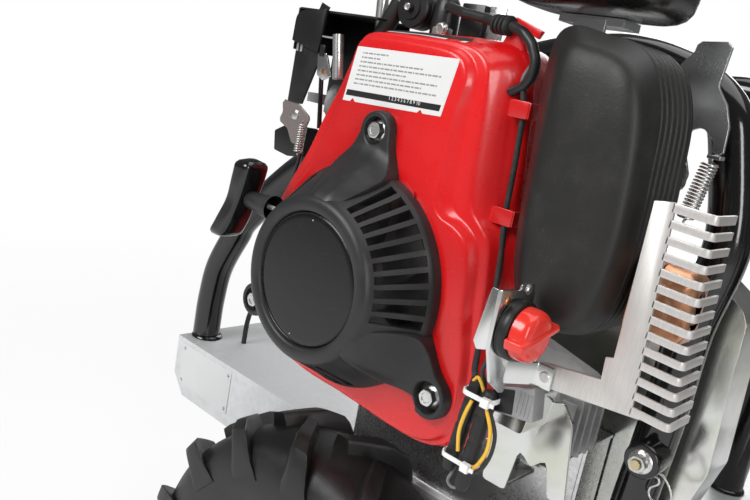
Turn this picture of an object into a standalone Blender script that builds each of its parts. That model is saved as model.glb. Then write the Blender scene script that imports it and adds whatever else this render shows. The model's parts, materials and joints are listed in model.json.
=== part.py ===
"""Cable laying machine: small engine on a two-wheeled steel chassis that cuts a slot and lays a wire.

Metres, +Z up. The machine drives towards -X and its starter side faces -Y. The origin is on the ground
under the middle of the machine.
"""
import math

import bmesh
import bpy
import numpy as np
from mathutils import Matrix, Vector

# Clearances and sheet thicknesses
GAP = 0.0003
SHEET = 0.003
THIN_SHEET = 0.002
PLASTIC_WALL = 0.0025

# Where the axle plates' middle plane and the drawing's zero lie in the machine's own box
MACHINE_X = -0.0435
MACHINE_Y = 0.0268

# Where the engine's crank axis meets the face of its badge
ENGINE_X = -0.283
ENGINE_Y = -0.335
ENGINE_Z = 0.559

# Starter cover and badge
BADGE_R = 0.047
BADGE_T = 0.0015
BADGE_FLOOR = 0.0018
CREST_R = 0.0585
DOME_R = 0.084
DOME_BACK = 0.031
COVER_R = 0.087
COVER_SIDES = 26
COVER_BACK = 0.049
EAR_RING = 0.106
EAR_R = 0.0155
EAR_FRONT = 0.036
EAR_FLOOR = 0.041
EAR_ANGLES = (90.0, -30.0, 210.0)
POCKET_R = 0.0115
SLOT_COUNT = 12
SLOT_FIRST = 65.5
SLOT_STEP = 8.1
SLOT_IN_W = 0.0036
SLOT_OUT_W = 0.0058
BOLT_R = 0.003
BOLT_FLANGE_R = 0.0072
BOLT_HEX_R = 0.0056

# Fan shroud
SHROUD_BACK = 0.105
FAN_HOLE_R = 0.076
FAN_HOLE_X = 0.006

# Crank train
CRANK_R = 0.008
FLYWHEEL_R = 0.064
FLYWHEEL_FRONT = 0.064
FAN_BLADES = 7
DRUM_R = 0.033
DRUM_FRONT = 0.012
DRUM_BACK = 0.028
ROPE_Y = 0.020
ROPE_R = 0.002
GRIP_LEAN = 0.5
POST_R = 0.006
PULLEY_R = 0.030
PULLEY_FRONT = 0.224
PULLEY_BACK = 0.246
CASE_FRONT = 0.108
CASE_BACK = 0.178
ROCKER_TOP = 0.1596

# Silencer, its guard and the stop switch
SILENCER_COVER_FRONT = 0.0215
RIB_COUNT = 5
GUARD_FRONT = 0.025
GUARD_DEPTH = 0.027
GUARD_BEND_TOP = (0.2440, 0.1130)
GUARD_BEND_LOW = (0.2500, 0.0)
FINGERS = 13
SWITCH_X = 0.163
SWITCH_Y = 0.0015
SWITCH_Z = 0.0255
COLLAR_T = 0.0065

# Wires, controls and belt-tension lever
STOP_WIRE_R = 0.0028
LEAD_R = 0.0034
ARM_PIVOT = (-0.144, 0.095)
LEVER_Y = 0.150
LEVER_T = 0.003
LEVER_PIVOT = (0.170, 0.112)

# Chassis
TRACK_MIDDLE = 0.229
DECK_FRONT = -0.652
DECK_REAR = 0.060
DECK_HALF = 0.165
DECK_TOP = 0.356
FLANGE = 0.070
HOOP_R = 0.016
HOOP_Y = 0.135
SHELF_OUT_Y = -0.158
SHELF_IN_Y = -0.1185

# Running gear
WHEEL_X = -0.317
TYRE_R = 0.190
LUG_H = 0.011
TYRE_W = 0.100
RIM_R = 0.100
AXLE_R = 0.010
AXLE_SIDES = 12
AXLE_Z = TYRE_R + LUG_H
LUGS = 15
PLATE_Y = 0.100
PRESS_X = 0.330
PRESS_R = 0.090
PRESS_W = 0.036

# Drive
DRIVE_X = -0.130
DRIVE_Z = 0.455
DRIVE_R = 0.045
CASE_Y = -0.066
CASE_W = 0.040
CASE_X = -0.205
ENGINE_TO_CASE = CASE_Y - ENGINE_Y

# Rear unit, reel and control cable
BLADE_X = 0.160
REEL_X = 0.165
REEL_Z = 0.540
REEL_R = 0.105
STAND_Y = 0.070
CABLE_X = DECK_FRONT + 0.050
CABLE_Y = -0.106
CABLE_R = 0.003

# Handlebar
PIVOT_X = 0.035
PIVOT_Z = 0.400
PIVOT_R = 0.008
PIVOT_SIDES = 10
BRACKET_Y = 0.146
BAR_Y = 0.130
BAR_R = 0.0125
GRIP_Y = 0.240
GRIP_Z = 0.970
GRIP_START = 0.622
GRIP_END = 0.740
LEVER_X = 0.600
LEVER_Z = GRIP_Z - 0.026
THUMB_Z = GRIP_Z + 0.018

OBJECT = "cable_laying_machine"


def mm(*pairs):
    """Points written in millimetres, as metres."""
    return [tuple(0.001 * v for v in pair) for pair in pairs]


def clear_scene():
    for old in list(bpy.data.objects):
        bpy.data.objects.remove(old)
    for name in (OBJECT, "cutters"):
        bpy.context.scene.collection.children.link(bpy.data.collections.new(name))


MATERIALS = {}


def material(name, colour, roughness, metallic=0.0):
    """A Principled material, made once and shared by name."""
    if name not in MATERIALS:
        made = bpy.data.materials.new(name)
        made.use_nodes = True
        shader = made.node_tree.nodes["Principled BSDF"]
        shader.inputs["Base Color"].default_value = (*colour, 1.0)
        shader.inputs["Roughness"].default_value = roughness
        shader.inputs["Metallic"].default_value = metallic
        MATERIALS[name] = made
    return MATERIALS[name]


def red():
    return material("red_paint", (0.70, 0.02, 0.02), 0.30)


def black_plastic():
    return material("black_plastic", (0.03, 0.03, 0.03), 0.55)


def black_paint():
    return material("black_paint", (0.01, 0.01, 0.01), 0.25)


def rubber():
    return material("rubber", (0.02, 0.02, 0.02), 0.85)


def zinc():
    return material("zinc", (0.72, 0.73, 0.74), 0.40, 0.8)


def stainless():
    return material("stainless", (0.75, 0.73, 0.70), 0.35, 0.9)


def cast():
    return material("cast_aluminium", (0.55, 0.55, 0.55), 0.55, 0.8)


def steel():
    return material("bright_steel", (0.70, 0.70, 0.70), 0.25, 1.0)


def link(name, mesh, finish, parent=None, cutter=False):
    """Put a mesh in the scene as a named piece, or as a cutter that the build leaves out."""
    made = bpy.data.objects.new(name, mesh)
    home = "cutters" if cutter else OBJECT
    bpy.data.collections[home].objects.link(made)
    made.parent = parent
    if cutter:
        made.hide_render = True
        made.display_type = "WIRE"
    else:
        mesh.materials.append(finish)
        mesh.shade_smooth()
        mesh.set_sharp_from_angle(angle=math.radians(35.0))
    return made


def piece(name, shapes, finish, parent=None, cuts=()):
    """One node: the first shape, joined with the other shapes, less the cuts, all by exact Booleans."""
    meshes = []
    for number, shape in enumerate(shapes):
        bmesh.ops.recalc_face_normals(shape, faces=shape.faces[:])
        mesh = bpy.data.meshes.new(f"{name}_{number}")
        shape.to_mesh(mesh)
        shape.free()
        meshes.append(mesh)
    made = link(name, meshes[0], finish, parent)
    for number, mesh in enumerate(meshes[1:]):
        boolean(made, link(f"{name}_join_{number}", mesh, finish, parent, True), "UNION")
    for number, shape in enumerate(cuts):
        bmesh.ops.recalc_face_normals(shape, faces=shape.faces[:])
        mesh = bpy.data.meshes.new(f"{name}_cut_{number}")
        shape.to_mesh(mesh)
        shape.free()
        boolean(made, link(f"{name}_cut_{number}", mesh, finish, parent, True), "DIFFERENCE")
    return made


def add_shape(target, name, shape, operation):
    """One more Boolean on a finished piece, after its cuts."""
    bmesh.ops.recalc_face_normals(shape, faces=shape.faces[:])
    mesh = bpy.data.meshes.new(name)
    shape.to_mesh(mesh)
    shape.free()
    boolean(target, link(name, mesh, None, target.parent, True), operation)


def boolean(target, tool, operation):
    added = target.modifiers.new(tool.name, "BOOLEAN")
    added.operation = operation
    added.object = tool
    added.solver = "EXACT"


def block(low, high):
    """A box between two corners."""
    low = Vector(low)
    high = Vector(high)
    shape = bmesh.new()
    size = high - low
    place = Matrix.Translation((low + high) / 2.0) @ Matrix.Diagonal((*size, 1.0))
    bmesh.ops.create_cube(shape, size=1.0, matrix=place)
    return shape


def rod(start, end, radius, end_radius=None, sides=24):
    """A cylinder or cone from one point to another."""
    start = Vector(start)
    end = Vector(end)
    run = end - start
    turn = Vector((0.0, 0.0, 1.0)).rotation_difference(run.normalized()).to_matrix().to_4x4()
    shape = bmesh.new()
    bmesh.ops.create_cone(shape, cap_ends=True, cap_tris=False, segments=sides, radius1=radius,
                          radius2=radius if end_radius is None else end_radius, depth=run.length,
                          matrix=Matrix.Translation((start + end) / 2.0) @ turn)
    return shape


def bearing(start, end, shaft, sides):
    """A cutter round a turning shaft of as many sides, whose flats clear the shaft's corners by the gap."""
    return rod(start, end, (shaft + GAP) / math.cos(math.pi / sides), sides=sides)


def loft(rings, closed=False):
    """A closed skin over rings of equal point counts, with flat caps, or joined end to end."""
    shape = bmesh.new()
    rows = [[shape.verts.new(point) for point in ring] for ring in rings]
    pairs = list(zip(rows, rows[1:]))
    if closed:
        pairs.append((rows[-1], rows[0]))
    for near, far in pairs:
        for index in range(len(near)):
            after = (index + 1) % len(near)
            shape.faces.new((near[index], near[after], far[after], far[index]))
    if not closed:
        shape.faces.new(rows[0][::-1])
        shape.faces.new(rows[-1])
    return shape


def circle(radius, sides, facets=0):
    """A ring of (u, v) points; facets 6 gives a hexagon with the same number of points."""
    ring = []
    for index in range(sides):
        angle = 2.0 * math.pi * index / sides
        reach = radius
        if facets:
            wedge = 2.0 * math.pi / facets
            reach = radius * math.cos(wedge / 2.0) / math.cos(angle % wedge - wedge / 2.0)
        ring.append((reach * math.cos(angle), reach * math.sin(angle)))
    return ring


def turned_y(profile, centre=(0.0, 0.0, 0.0), sides=32):
    """A solid of rings round a Y axis; the profile holds (radius, y) or (radius, y, facets)."""
    rings = []
    for row in profile:
        flat = circle(row[0], sides, row[2] if len(row) > 2 else 0)
        rings.append([(centre[0] + u, centre[1] + row[1], centre[2] + v) for u, v in flat])
    return loft(rings)


def turned_x(profile, centre=(0.0, 0.0, 0.0), sides=32):
    """A solid of rings round an X axis; the profile holds (radius, x)."""
    return loft([[(centre[0] + x, centre[1] + u, centre[2] + v) for u, v in circle(radius, sides)]
                 for radius, x in profile])


def turned_z(profile, centre=(0.0, 0.0, 0.0), sides=32):
    """A solid of rings round a Z axis; the profile holds (radius, z) or (radius, z, facets)."""
    rings = []
    for row in profile:
        flat = circle(row[0], sides, row[2] if len(row) > 2 else 0)
        rings.append([(centre[0] + u, centre[1] + v, centre[2] + row[1]) for u, v in flat])
    return loft(rings)


def slab_y(outline, front, back):
    """A flat outline of (x, z) points with a thickness along Y."""
    return loft([[(x, front, z) for x, z in outline], [(x, back, z) for x, z in outline]])


def slab_x(outline, left, right):
    """A flat outline of (y, z) points with a thickness along X."""
    return loft([[(left, y, z) for y, z in outline], [(right, y, z) for y, z in outline]])


def slab_z(outline, low, high):
    """A flat outline of (x, y) points with a thickness along Z."""
    return loft([[(x, y, low) for x, y in outline], [(x, y, high) for x, y in outline]])


def rounded(corners, radius, steps=4):
    """A closed outline with every corner turned into an arc of the radius, or of its own third value."""
    outline = []
    count = len(corners)
    for index, corner in enumerate(corners):
        here = Vector(corner[:2])
        before = Vector(corners[index - 1][:2]) - here
        after = Vector(corners[(index + 1) % count][:2]) - here
        bend = before.angle(after)
        reach = corner[2] if len(corner) > 2 else radius
        reach = min(reach / math.tan(bend / 2.0), 0.48 * before.length, 0.48 * after.length)
        start = here + before.normalized() * reach
        end = here + after.normalized() * reach
        for step in range(steps + 1):
            part = step / steps
            outline.append(tuple((1 - part) ** 2 * start + 2 * part * (1 - part) * here + part ** 2 * end))
    return outline


def smooth_ring(points, count):
    """A closed smooth curve through the points, read at evenly spaced parameters."""
    points = np.array(points)
    total = len(points)
    places = np.arange(count) * total / count
    index = places.astype(int)
    part = (places - index)[:, None]
    p0, p1, p2, p3 = (points[(index + shift) % total] for shift in (-1, 0, 1, 2))
    return 0.5 * (2 * p1 + (p2 - p0) * part + (2 * p0 - 5 * p1 + 4 * p2 - p3) * part ** 2
                  + (3 * p1 - p0 - 3 * p2 + p3) * part ** 3)


def bent(corners, radius, steps=6):
    """An open path in space whose inner corners become smooth bends."""
    corners = [Vector(corner) for corner in corners]
    path = [corners[0]]
    for before, here, after in zip(corners, corners[1:], corners[2:]):
        back = before - here
        ahead = after - here
        reach = radius / math.tan(back.angle(ahead) / 2.0)
        reach = min(reach, 0.49 * back.length, 0.49 * ahead.length)
        start = here + back.normalized() * reach
        end = here + ahead.normalized() * reach
        for step in range(steps + 1):
            part = step / steps
            path.append((1 - part) ** 2 * start + 2 * part * (1 - part) * here + part ** 2 * end)
    path.append(corners[-1])
    return path


def tube(name, path, radius, finish, parent=None, resolution=3):
    """A round bar or wire along a path, as a curve with filled caps."""
    curve = bpy.data.curves.new(name, "CURVE")
    curve.dimensions = "3D"
    curve.bevel_depth = radius
    curve.bevel_resolution = resolution
    curve.use_fill_caps = True
    spline = curve.splines.new("POLY")
    spline.points.add(len(path) - 1)
    for point, place in zip(spline.points, path):
        point.co = (*place, 1.0)
    curve.materials.append(finish)
    made = bpy.data.objects.new(name, curve)
    bpy.data.collections[OBJECT].objects.link(made)
    made.parent = parent
    return made


def tube_shape(path, radius, sides=12):
    """The same tube as a skin of rings, for pieces that are cut or joined."""
    path = [Vector(point) for point in path]
    rings = []
    side = Vector((0.0, 1.0, 0.0))
    for index, point in enumerate(path):
        along = (path[min(index + 1, len(path) - 1)] - path[max(index - 1, 0)]).normalized()
        side = (side - along * side.dot(along)).normalized()
        up = along.cross(side)
        rings.append([point + side * u + up * v for u, v in circle(radius, sides)])
    return loft(rings)


def coil(start, end, radius, turns, points, lead):
    """A helix between two points with straight ends of one lead each."""
    start = Vector(start)
    end = Vector(end)
    along = (end - start).normalized()
    side = along.cross(Vector((0.3, 1.0, 0.2))).normalized()
    up = along.cross(side)
    path = [start]
    run = (end - start).length - 2.0 * lead
    for index in range(turns * points + 1):
        angle = 2.0 * math.pi * index / points
        centre = start + along * (lead + run * index / (turns * points))
        path.append(centre + (side * math.cos(angle) + up * math.sin(angle)) * radius)
    path.append(end)
    return path


def least_coil_gap(path, wire_radius, points):
    """The least clearance between neighbouring turns, on the path's own points."""
    body = [Vector(point) for point in path[1:-1]]
    closest = min((a - b).length for a, b in zip(body, body[points:]))
    return closest - 2.0 * wire_radius


def origin_empty(name, place, parent):
    """An empty whose frame the pieces below it are drawn in."""
    made = bpy.data.objects.new(name, None)
    bpy.context.scene.collection.objects.link(made)
    made.location = place
    made.parent = parent
    return made


clear_scene()
machine = origin_empty("machine_origin", (MACHINE_X, MACHINE_Y, 0.0), None)
engine = origin_empty("engine_origin", (ENGINE_X, ENGINE_Y, ENGINE_Z), machine)


def polar(radius, degrees, y, centre=(0.0, 0.0)):
    """A point at an angle round the crank axis."""
    angle = math.radians(degrees)
    return (centre[0] + radius * math.cos(angle), y, centre[1] + radius * math.sin(angle))


def spoke(inner, outer, inner_width, outer_width, degrees, front, back, centre=(0.0, 0.0)):
    """A tapering bar that points away from the crank axis."""
    turn = math.radians(degrees)
    outline = []
    for reach, half in ((inner, -inner_width), (outer, -outer_width), (outer, outer_width), (inner, inner_width)):
        half *= 0.5
        outline.append((centre[0] + reach * math.cos(turn) - half * math.sin(turn),
                        centre[1] + reach * math.sin(turn) + half * math.cos(turn)))
    return slab_y(outline, front, back)


def cover_profile(inset):
    """Radius and depth of the cover's skin, moved inwards by an inset."""
    floor = BADGE_FLOOR + inset
    if inset:
        return [(CREST_R - 2 * inset, floor), (CREST_R - inset, floor), (DOME_R - inset, DOME_BACK + inset),
                (COVER_R - inset, DOME_BACK + 3 * inset), (COVER_R - inset, COVER_BACK + inset)]
    lip = BADGE_R + 0.0020
    return [(BADGE_R, BADGE_FLOOR), (BADGE_R, -0.0008), (lip, -0.0022), (CREST_R - 0.0040, -0.0020),
            (CREST_R, 0.0), (CREST_R + 0.0025, 0.0030), (DOME_R, DOME_BACK), (COVER_R, DOME_BACK + 0.0060),
            (COVER_R, COVER_BACK)]


def ear_outline(degrees, inner, grow=0.0):
    """A leg that narrows to the round ear of a cover bolt."""
    turn = math.radians(degrees)
    local = [(inner, 0.024), (EAR_RING - 0.020, EAR_R + grow)]
    local += [(EAR_RING + (EAR_R + grow) * math.cos(a), (EAR_R + grow) * math.sin(a))
              for a in np.radians(np.linspace(90.0, -90.0, 6))]
    local += [(EAR_RING - 0.020, -EAR_R - grow), (inner, -0.024)]
    return [(u * math.cos(turn) - v * math.sin(turn), u * math.sin(turn) + v * math.cos(turn)) for u, v in local]


def gusset(degrees):
    """The sloping top of a leg, from the dome down to its ear."""
    turn = math.radians(degrees)
    rings = []
    for y, inner, outer, half in ((0.010, 0.052, 0.066, 0.009), (0.024, 0.052, 0.090, 0.013),
                                  (EAR_FRONT + 0.001, 0.052, 0.112, 0.0145)):
        local = [(inner, -half), (outer - 0.004, -half), (outer, -0.6 * half), (outer, 0.6 * half),
                 (outer - 0.004, half), (inner, half)]
        rings.append([(u * math.cos(turn) - v * math.sin(turn), y, u * math.sin(turn) + v * math.cos(turn))
                      for u, v in local])
    return loft(rings)


def starter_cover():
    """Black cover of the recoil starter: domed, with a radial grille, three ears and the drum's post."""
    guide = rod((-0.0940, ROPE_Y, DRUM_R), (-0.0650, ROPE_Y, DRUM_R), 0.0065, 0.0100, 16)
    shapes = [turned_y(cover_profile(0.0), sides=COVER_SIDES), guide]
    for degrees in EAR_ANGLES:
        shapes.append(slab_y(ear_outline(degrees, 0.060), EAR_FRONT, COVER_BACK))
        shapes.append(gusset(degrees))
    cuts = [turned_y(cover_profile(PLASTIC_WALL), sides=20)]
    for index in range(SLOT_COUNT):
        degrees = SLOT_FIRST - SLOT_STEP * index
        cuts.append(spoke(CREST_R + 0.0035, DOME_R - 0.0030, SLOT_IN_W, SLOT_OUT_W, degrees, -0.010, 0.045))
    for degrees in EAR_ANGLES:
        x, _, z = polar(EAR_RING, degrees, 0.0)
        cuts.append(rod((x, -0.010, z), (x, EAR_FLOOR, z), POCKET_R, sides=12))
        cuts.append(rod((x, EAR_FLOOR - 0.001, z), (x, COVER_BACK + 0.002, z), BOLT_R + GAP, sides=8))
    cuts.append(rod((-0.095, ROPE_Y, DRUM_R), (-0.040, ROPE_Y, DRUM_R), ROPE_R + 0.0010, sides=8))
    cover = piece("starter_cover", shapes, black_plastic(), engine, cuts)
    add_post(cover)


def add_post(cover):
    """The post inside the cover that carries the starter drum, with its end washer."""
    shape = turned_y([(0.012, BADGE_FLOOR + 0.001), (0.012, DRUM_FRONT - GAP), (POST_R, DRUM_FRONT - GAP),
                      (POST_R, DRUM_BACK + GAP), (0.010, DRUM_BACK + GAP), (0.010, DRUM_BACK + 0.002)], sides=14)
    add_shape(cover, "drum_post", shape, "UNION")


def badge_disc():
    """Bare round badge in the cover's recess."""
    disc = turned_y([(BADGE_R - GAP, 0.0), (BADGE_R - GAP, BADGE_T)], sides=COVER_SIDES)
    piece("badge_disc", [disc], black_plastic(), engine)


def cover_bolts():
    """Three flange bolts, seated on the floors of the ears' pockets."""
    seat = EAR_FLOOR - GAP
    profile = [(BOLT_HEX_R - 0.0006, seat - 0.0067, 6), (BOLT_HEX_R, seat - 0.0020, 6), (BOLT_FLANGE_R, seat - 0.0010),
               (BOLT_FLANGE_R, seat), (BOLT_R, seat), (BOLT_R, seat + 0.016)]
    for number, degrees in enumerate(EAR_ANGLES, 1):
        bolt = turned_y(profile, polar(EAR_RING, degrees, 0.0), 12)
        piece(f"cover_bolt_{number}", [bolt], steel(), engine)


def starter_drum():
    """The rope drum behind the badge, turning on its post."""
    profile = [(DRUM_R, DRUM_FRONT), (DRUM_R, DRUM_FRONT + 0.003), (DRUM_R - 0.006, DRUM_FRONT + 0.006),
               (DRUM_R - 0.006, DRUM_BACK - 0.006), (DRUM_R, DRUM_BACK - 0.003), (DRUM_R, DRUM_BACK)]
    bore = rod((0, DRUM_FRONT - 0.01, 0), (0, DRUM_BACK + 0.01, 0), POST_R + GAP, sides=12)
    piece("starter_drum", [turned_y(profile, sides=16)], black_plastic(), engine, [bore])


def recoil_grip():
    """T-shaped pull handle, tall and rounded, with its neck towards the guide."""
    centre = Vector((-0.1090, ROPE_Y, DRUM_R - 0.003))
    rings = []
    for t, half_x, half_y in ((-0.034, 0.0040, 0.0060), (-0.032, 0.0075, 0.0095), (-0.024, 0.0095, 0.0120),
                              (0.0, 0.0090, 0.0115), (0.024, 0.0095, 0.0120), (0.032, 0.0075, 0.0095),
                              (0.034, 0.0040, 0.0060)):
        outline = rounded([(-half_x, -half_y), (half_x, -half_y), (half_x, half_y), (-half_x, half_y)],
                          0.45 * half_x, 2)
        lean = GRIP_LEAN * t
        rings.append([(centre.x + u + lean - 4.0 * t * t, centre.y + v, centre.z + t) for u, v in outline])
    neck = rod((-0.1050, ROPE_Y, DRUM_R), (-0.0952, ROPE_Y, DRUM_R), 0.0078, 0.0045, 12)
    rope = rod((-0.1080, ROPE_Y, DRUM_R), (-0.0400, ROPE_Y, DRUM_R), ROPE_R, sides=8)
    piece("recoil_grip", [loft(rings), neck, rope], black_plastic(), engine)


FACE_POINTS = mm((10, -90), (50, -93), (82, -92), (100, -82), (108, -62), (106, -30), (98, 5), (84, 45),
                 (66, 85), (60, 118), (64, 150), (50, 166), (10, 169), (-25, 168), (-46, 158), (-64, 144),
                 (-75, 123), (-84, 95), (-92, 60), (-99, 25), (-101, -15), (-97, -50), (-84, -76), (-40, -87))
SKIRT_POINTS = mm((8, -98), (52, -101), (90, -100), (110, -90), (119, -68), (120, -30), (120, 10), (119, 50),
                  (115, 80), (108, 118), (100, 155), (84, 176), (20, 178), (-28, 176), (-54, 166), (-73, 150),
                  (-85, 127), (-95, 97), (-103, 61), (-110, 25), (-112, -16), (-108, -54), (-93, -83), (-44, -95))
SHROUD_MIDDLE = (0.005, 0.040)


def shroud_ring(blend, y, inset, count=26):
    """One ring of the shroud: its face outline drawn towards the skirt outline, and drawn in by an inset."""
    flat = (1.0 - blend) * np.array(FACE_POINTS) + blend * np.array(SKIRT_POINTS)
    curve = smooth_ring(flat, count)
    middle = np.array(SHROUD_MIDDLE)
    away = curve - middle
    reach = np.linalg.norm(away, axis=1)[:, None]
    curve = middle + away * (reach - inset) / reach
    return [(x, y, z) for x, z in curve]


def engine_shroud():
    """Red fan shroud: a pressed shell, open to the back, with the fan opening and the wire's clips."""
    face = COVER_BACK + GAP
    steps = ((0.0, 0.0, 0.0035), (0.0, 0.0022, 0.0), (0.40, 0.0085, 0.0), (0.80, 0.0165, 0.0), (1.0, 0.0270, 0.0))
    outer = [shroud_ring(blend, face + depth, inset) for blend, depth, inset in steps]
    outer.append(shroud_ring(1.0, SHROUD_BACK, 0.0))
    wall = PLASTIC_WALL
    inner = [shroud_ring(blend, face + depth + wall, inset + wall) for blend, depth, inset in steps]
    inner.append(shroud_ring(1.0, SHROUD_BACK + wall, wall))
    lug = slab_y(rounded(mm((79, 170), (101, 166), (97, 193), (78, 195)), 0.003, 2), 0.068, 0.088)
    clip_top = block((0.0925, 0.0605, 0.138), (0.1045, 0.0760, 0.149))
    clip_low = block((0.1020, 0.0605, 0.056), (0.1130, 0.0760, 0.067))
    cuts = [loft(inner), rod((FAN_HOLE_X, 0.040, 0), (FAN_HOLE_X, 0.060, 0), FAN_HOLE_R, sides=24),
            tube_shape(stop_wire_path(), STOP_WIRE_R + 0.0005, 8), tube_shape(lead_path(), LEAD_R + 0.0005, 8)]
    for degrees in EAR_ANGLES:
        x, _, z = polar(EAR_RING, degrees, 0.0)
        cuts.append(rod((x, 0.040, z), (x, 0.070, z), BOLT_R + GAP, sides=8))
    piece("engine_shroud", [loft(outer), lug, clip_top, clip_low], red(), engine, cuts)


def crank_train():
    """Flywheel with its fan blades, the crankshaft through the case, and the belt pulley."""
    back = FLYWHEEL_FRONT + 0.006
    disc = turned_y([(FLYWHEEL_R - 0.004, FLYWHEEL_FRONT), (FLYWHEEL_R, FLYWHEEL_FRONT + 0.002),
                     (FLYWHEEL_R, back), (0.020, back), (0.020, back + 0.010)], sides=20)
    hub = rod((0, FLYWHEEL_FRONT - 0.008, 0), (0, back, 0), 0.016, sides=14)
    blades = [spoke(0.034, FLYWHEEL_R - 0.001, 0.002, 0.002, 360.0 * index / FAN_BLADES + 8.0,
                    FLYWHEEL_FRONT - 0.010, FLYWHEEL_FRONT + 0.001) for index in range(FAN_BLADES)]
    bore = rod((0, 0.040, 0), (0, 0.100, 0), CRANK_R + GAP, sides=14)
    piece("flywheel", [disc, hub] + blades, cast(), engine, [bore])
    shaft = turned_y([(0.005, 0.046), (CRANK_R, 0.050), (CRANK_R, PULLEY_BACK + 0.004)], sides=14)
    piece("crankshaft", [shaft, pulley(PULLEY_R, PULLEY_FRONT, PULLEY_BACK)], steel(), engine)


def pulley(radius, front, back, centre=(0.0, 0.0, 0.0)):
    """A V-belt pulley as a turned profile."""
    lip = 0.004
    middle = 0.5 * (front + back)
    return turned_y([(radius, front), (radius, front + lip), (radius - 0.009, middle - 0.003),
                     (radius - 0.009, middle + 0.003), (radius, back - lip), (radius, back)], centre, 16)


def crankcase():
    """Cast case: round bearing housing over a ribbed sump, with the PTO boss."""
    bulge = turned_y([(0.066, CASE_FRONT), (0.070, CASE_FRONT + 0.006), (0.070, CASE_BACK - 0.006),
                      (0.062, CASE_BACK)], sides=16)
    sump = slab_y(rounded(mm((-78, -96), (150, -96), (150, -40), (100, -28), (60, 0), (-60, 0), (-78, -30)),
                          0.008, 2), CASE_FRONT + 0.002, CASE_BACK - 0.004)
    boss = turned_y([(0.034, CASE_BACK - 0.004), (0.034, CASE_BACK + 0.003), (0.024, CASE_BACK + 0.004)], sides=16)
    neck = slab_y(mm((-40, 40), (40, 40), (40, 74), (-40, 74)), CASE_FRONT + 0.004, CASE_BACK - 0.006)
    ribs = [block((0.148, CASE_FRONT + 0.006 + 0.012 * i, -0.092), (0.160, CASE_FRONT + 0.009 + 0.012 * i, -0.046))
            for i in range(5)]
    bore = rod((0, 0.09, 0), (0, 0.20, 0), CRANK_R + GAP, sides=14)
    ear = block((-0.030, SHROUD_BACK + GAP, -0.0959), (0.030, CASE_FRONT + 0.006, -0.088))
    piece("crankcase", [bulge, sump, boss, neck, ear] + ribs, cast(), engine, [bore])


def cylinder():
    """Finned cylinder standing on the case, with the rocker cover on top."""
    rings = []
    base = 0.074 + GAP
    for index in range(5):
        low = base + 0.014 * index
        for level, half in ((low, 0.046), (low + 0.005, 0.046), (low + 0.005, 0.034), (low + 0.014, 0.034)):
            outline = rounded([(-half, -0.7 * half), (half, -0.7 * half), (half, 0.7 * half), (-half, 0.7 * half)],
                              0.010, 1)
            rings.append([(u, 0.142 + v, level) for u, v in outline])
    rings = rings[:-2]
    piece("cylinder", [loft(rings)], cast(), engine)
    top = ROCKER_TOP - 0.024
    shape = [(0.040, 0.027, 0.0), (0.040, 0.027, 0.018), (0.036, 0.023, 0.024)]
    lid = []
    for half_x, half_y, rise in shape:
        outline = rounded([(-half_x, -half_y), (half_x, -half_y), (half_x, half_y), (-half_x, half_y)], 0.008, 2)
        lid.append([(u, 0.142 + v, top + rise) for u, v in outline])
    piece("rocker_cover", [loft(lid)], black_paint(), engine)


def fuel_tank():
    """Moulded tank with a welded lip, its filler neck and cap, and the post that carries it."""
    def ring(level, grow):
        corners = [(0.052 - grow, 0.062 - grow), (0.172 + grow, 0.062 - grow), (0.172 + grow, 0.176 + grow),
                   (0.052 - grow, 0.176 + grow)]
        return [(u, v, level) for u, v in rounded(corners, 0.030, 3)]
    rings = [ring(0.2045, -0.022), ring(0.207, -0.010), ring(0.216, -0.003), ring(0.226, -0.001),
             ring(0.227, 0.003), ring(0.231, 0.003), ring(0.232, -0.001), ring(0.272, -0.004),
             ring(0.286, -0.018)]
    neck = rod((0.105, 0.119, 0.278), (0.105, 0.119, 0.296), 0.019, sides=16)
    piece("fuel_tank", [loft(rings), neck], black_plastic(), engine)
    knob = []
    for radius, level in ((0.025, 0.2963), (0.026, 0.299), (0.026, 0.310), (0.023, 0.314)):
        ring_points = []
        for index in range(24):
            angle = 2.0 * math.pi * index / 24
            reach = radius * (1.0 - (0.05 if index % 2 == 0 and level > 0.298 else 0.0))
            ring_points.append((0.105 + reach * math.cos(angle), 0.119 + reach * math.sin(angle), level))
        knob.append(ring_points)
    piece("fuel_cap", [loft(knob)], black_plastic(), engine)
    post = slab_y(mm((97, 96), (119, 96), (119, 203), (97, 203)), 0.1056, 0.1086)
    shelf = block((0.085, 0.1060, 0.1990), (0.131, 0.130, 0.2042))
    piece("tank_bracket", [post, shelf], black_paint(), engine)


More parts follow.
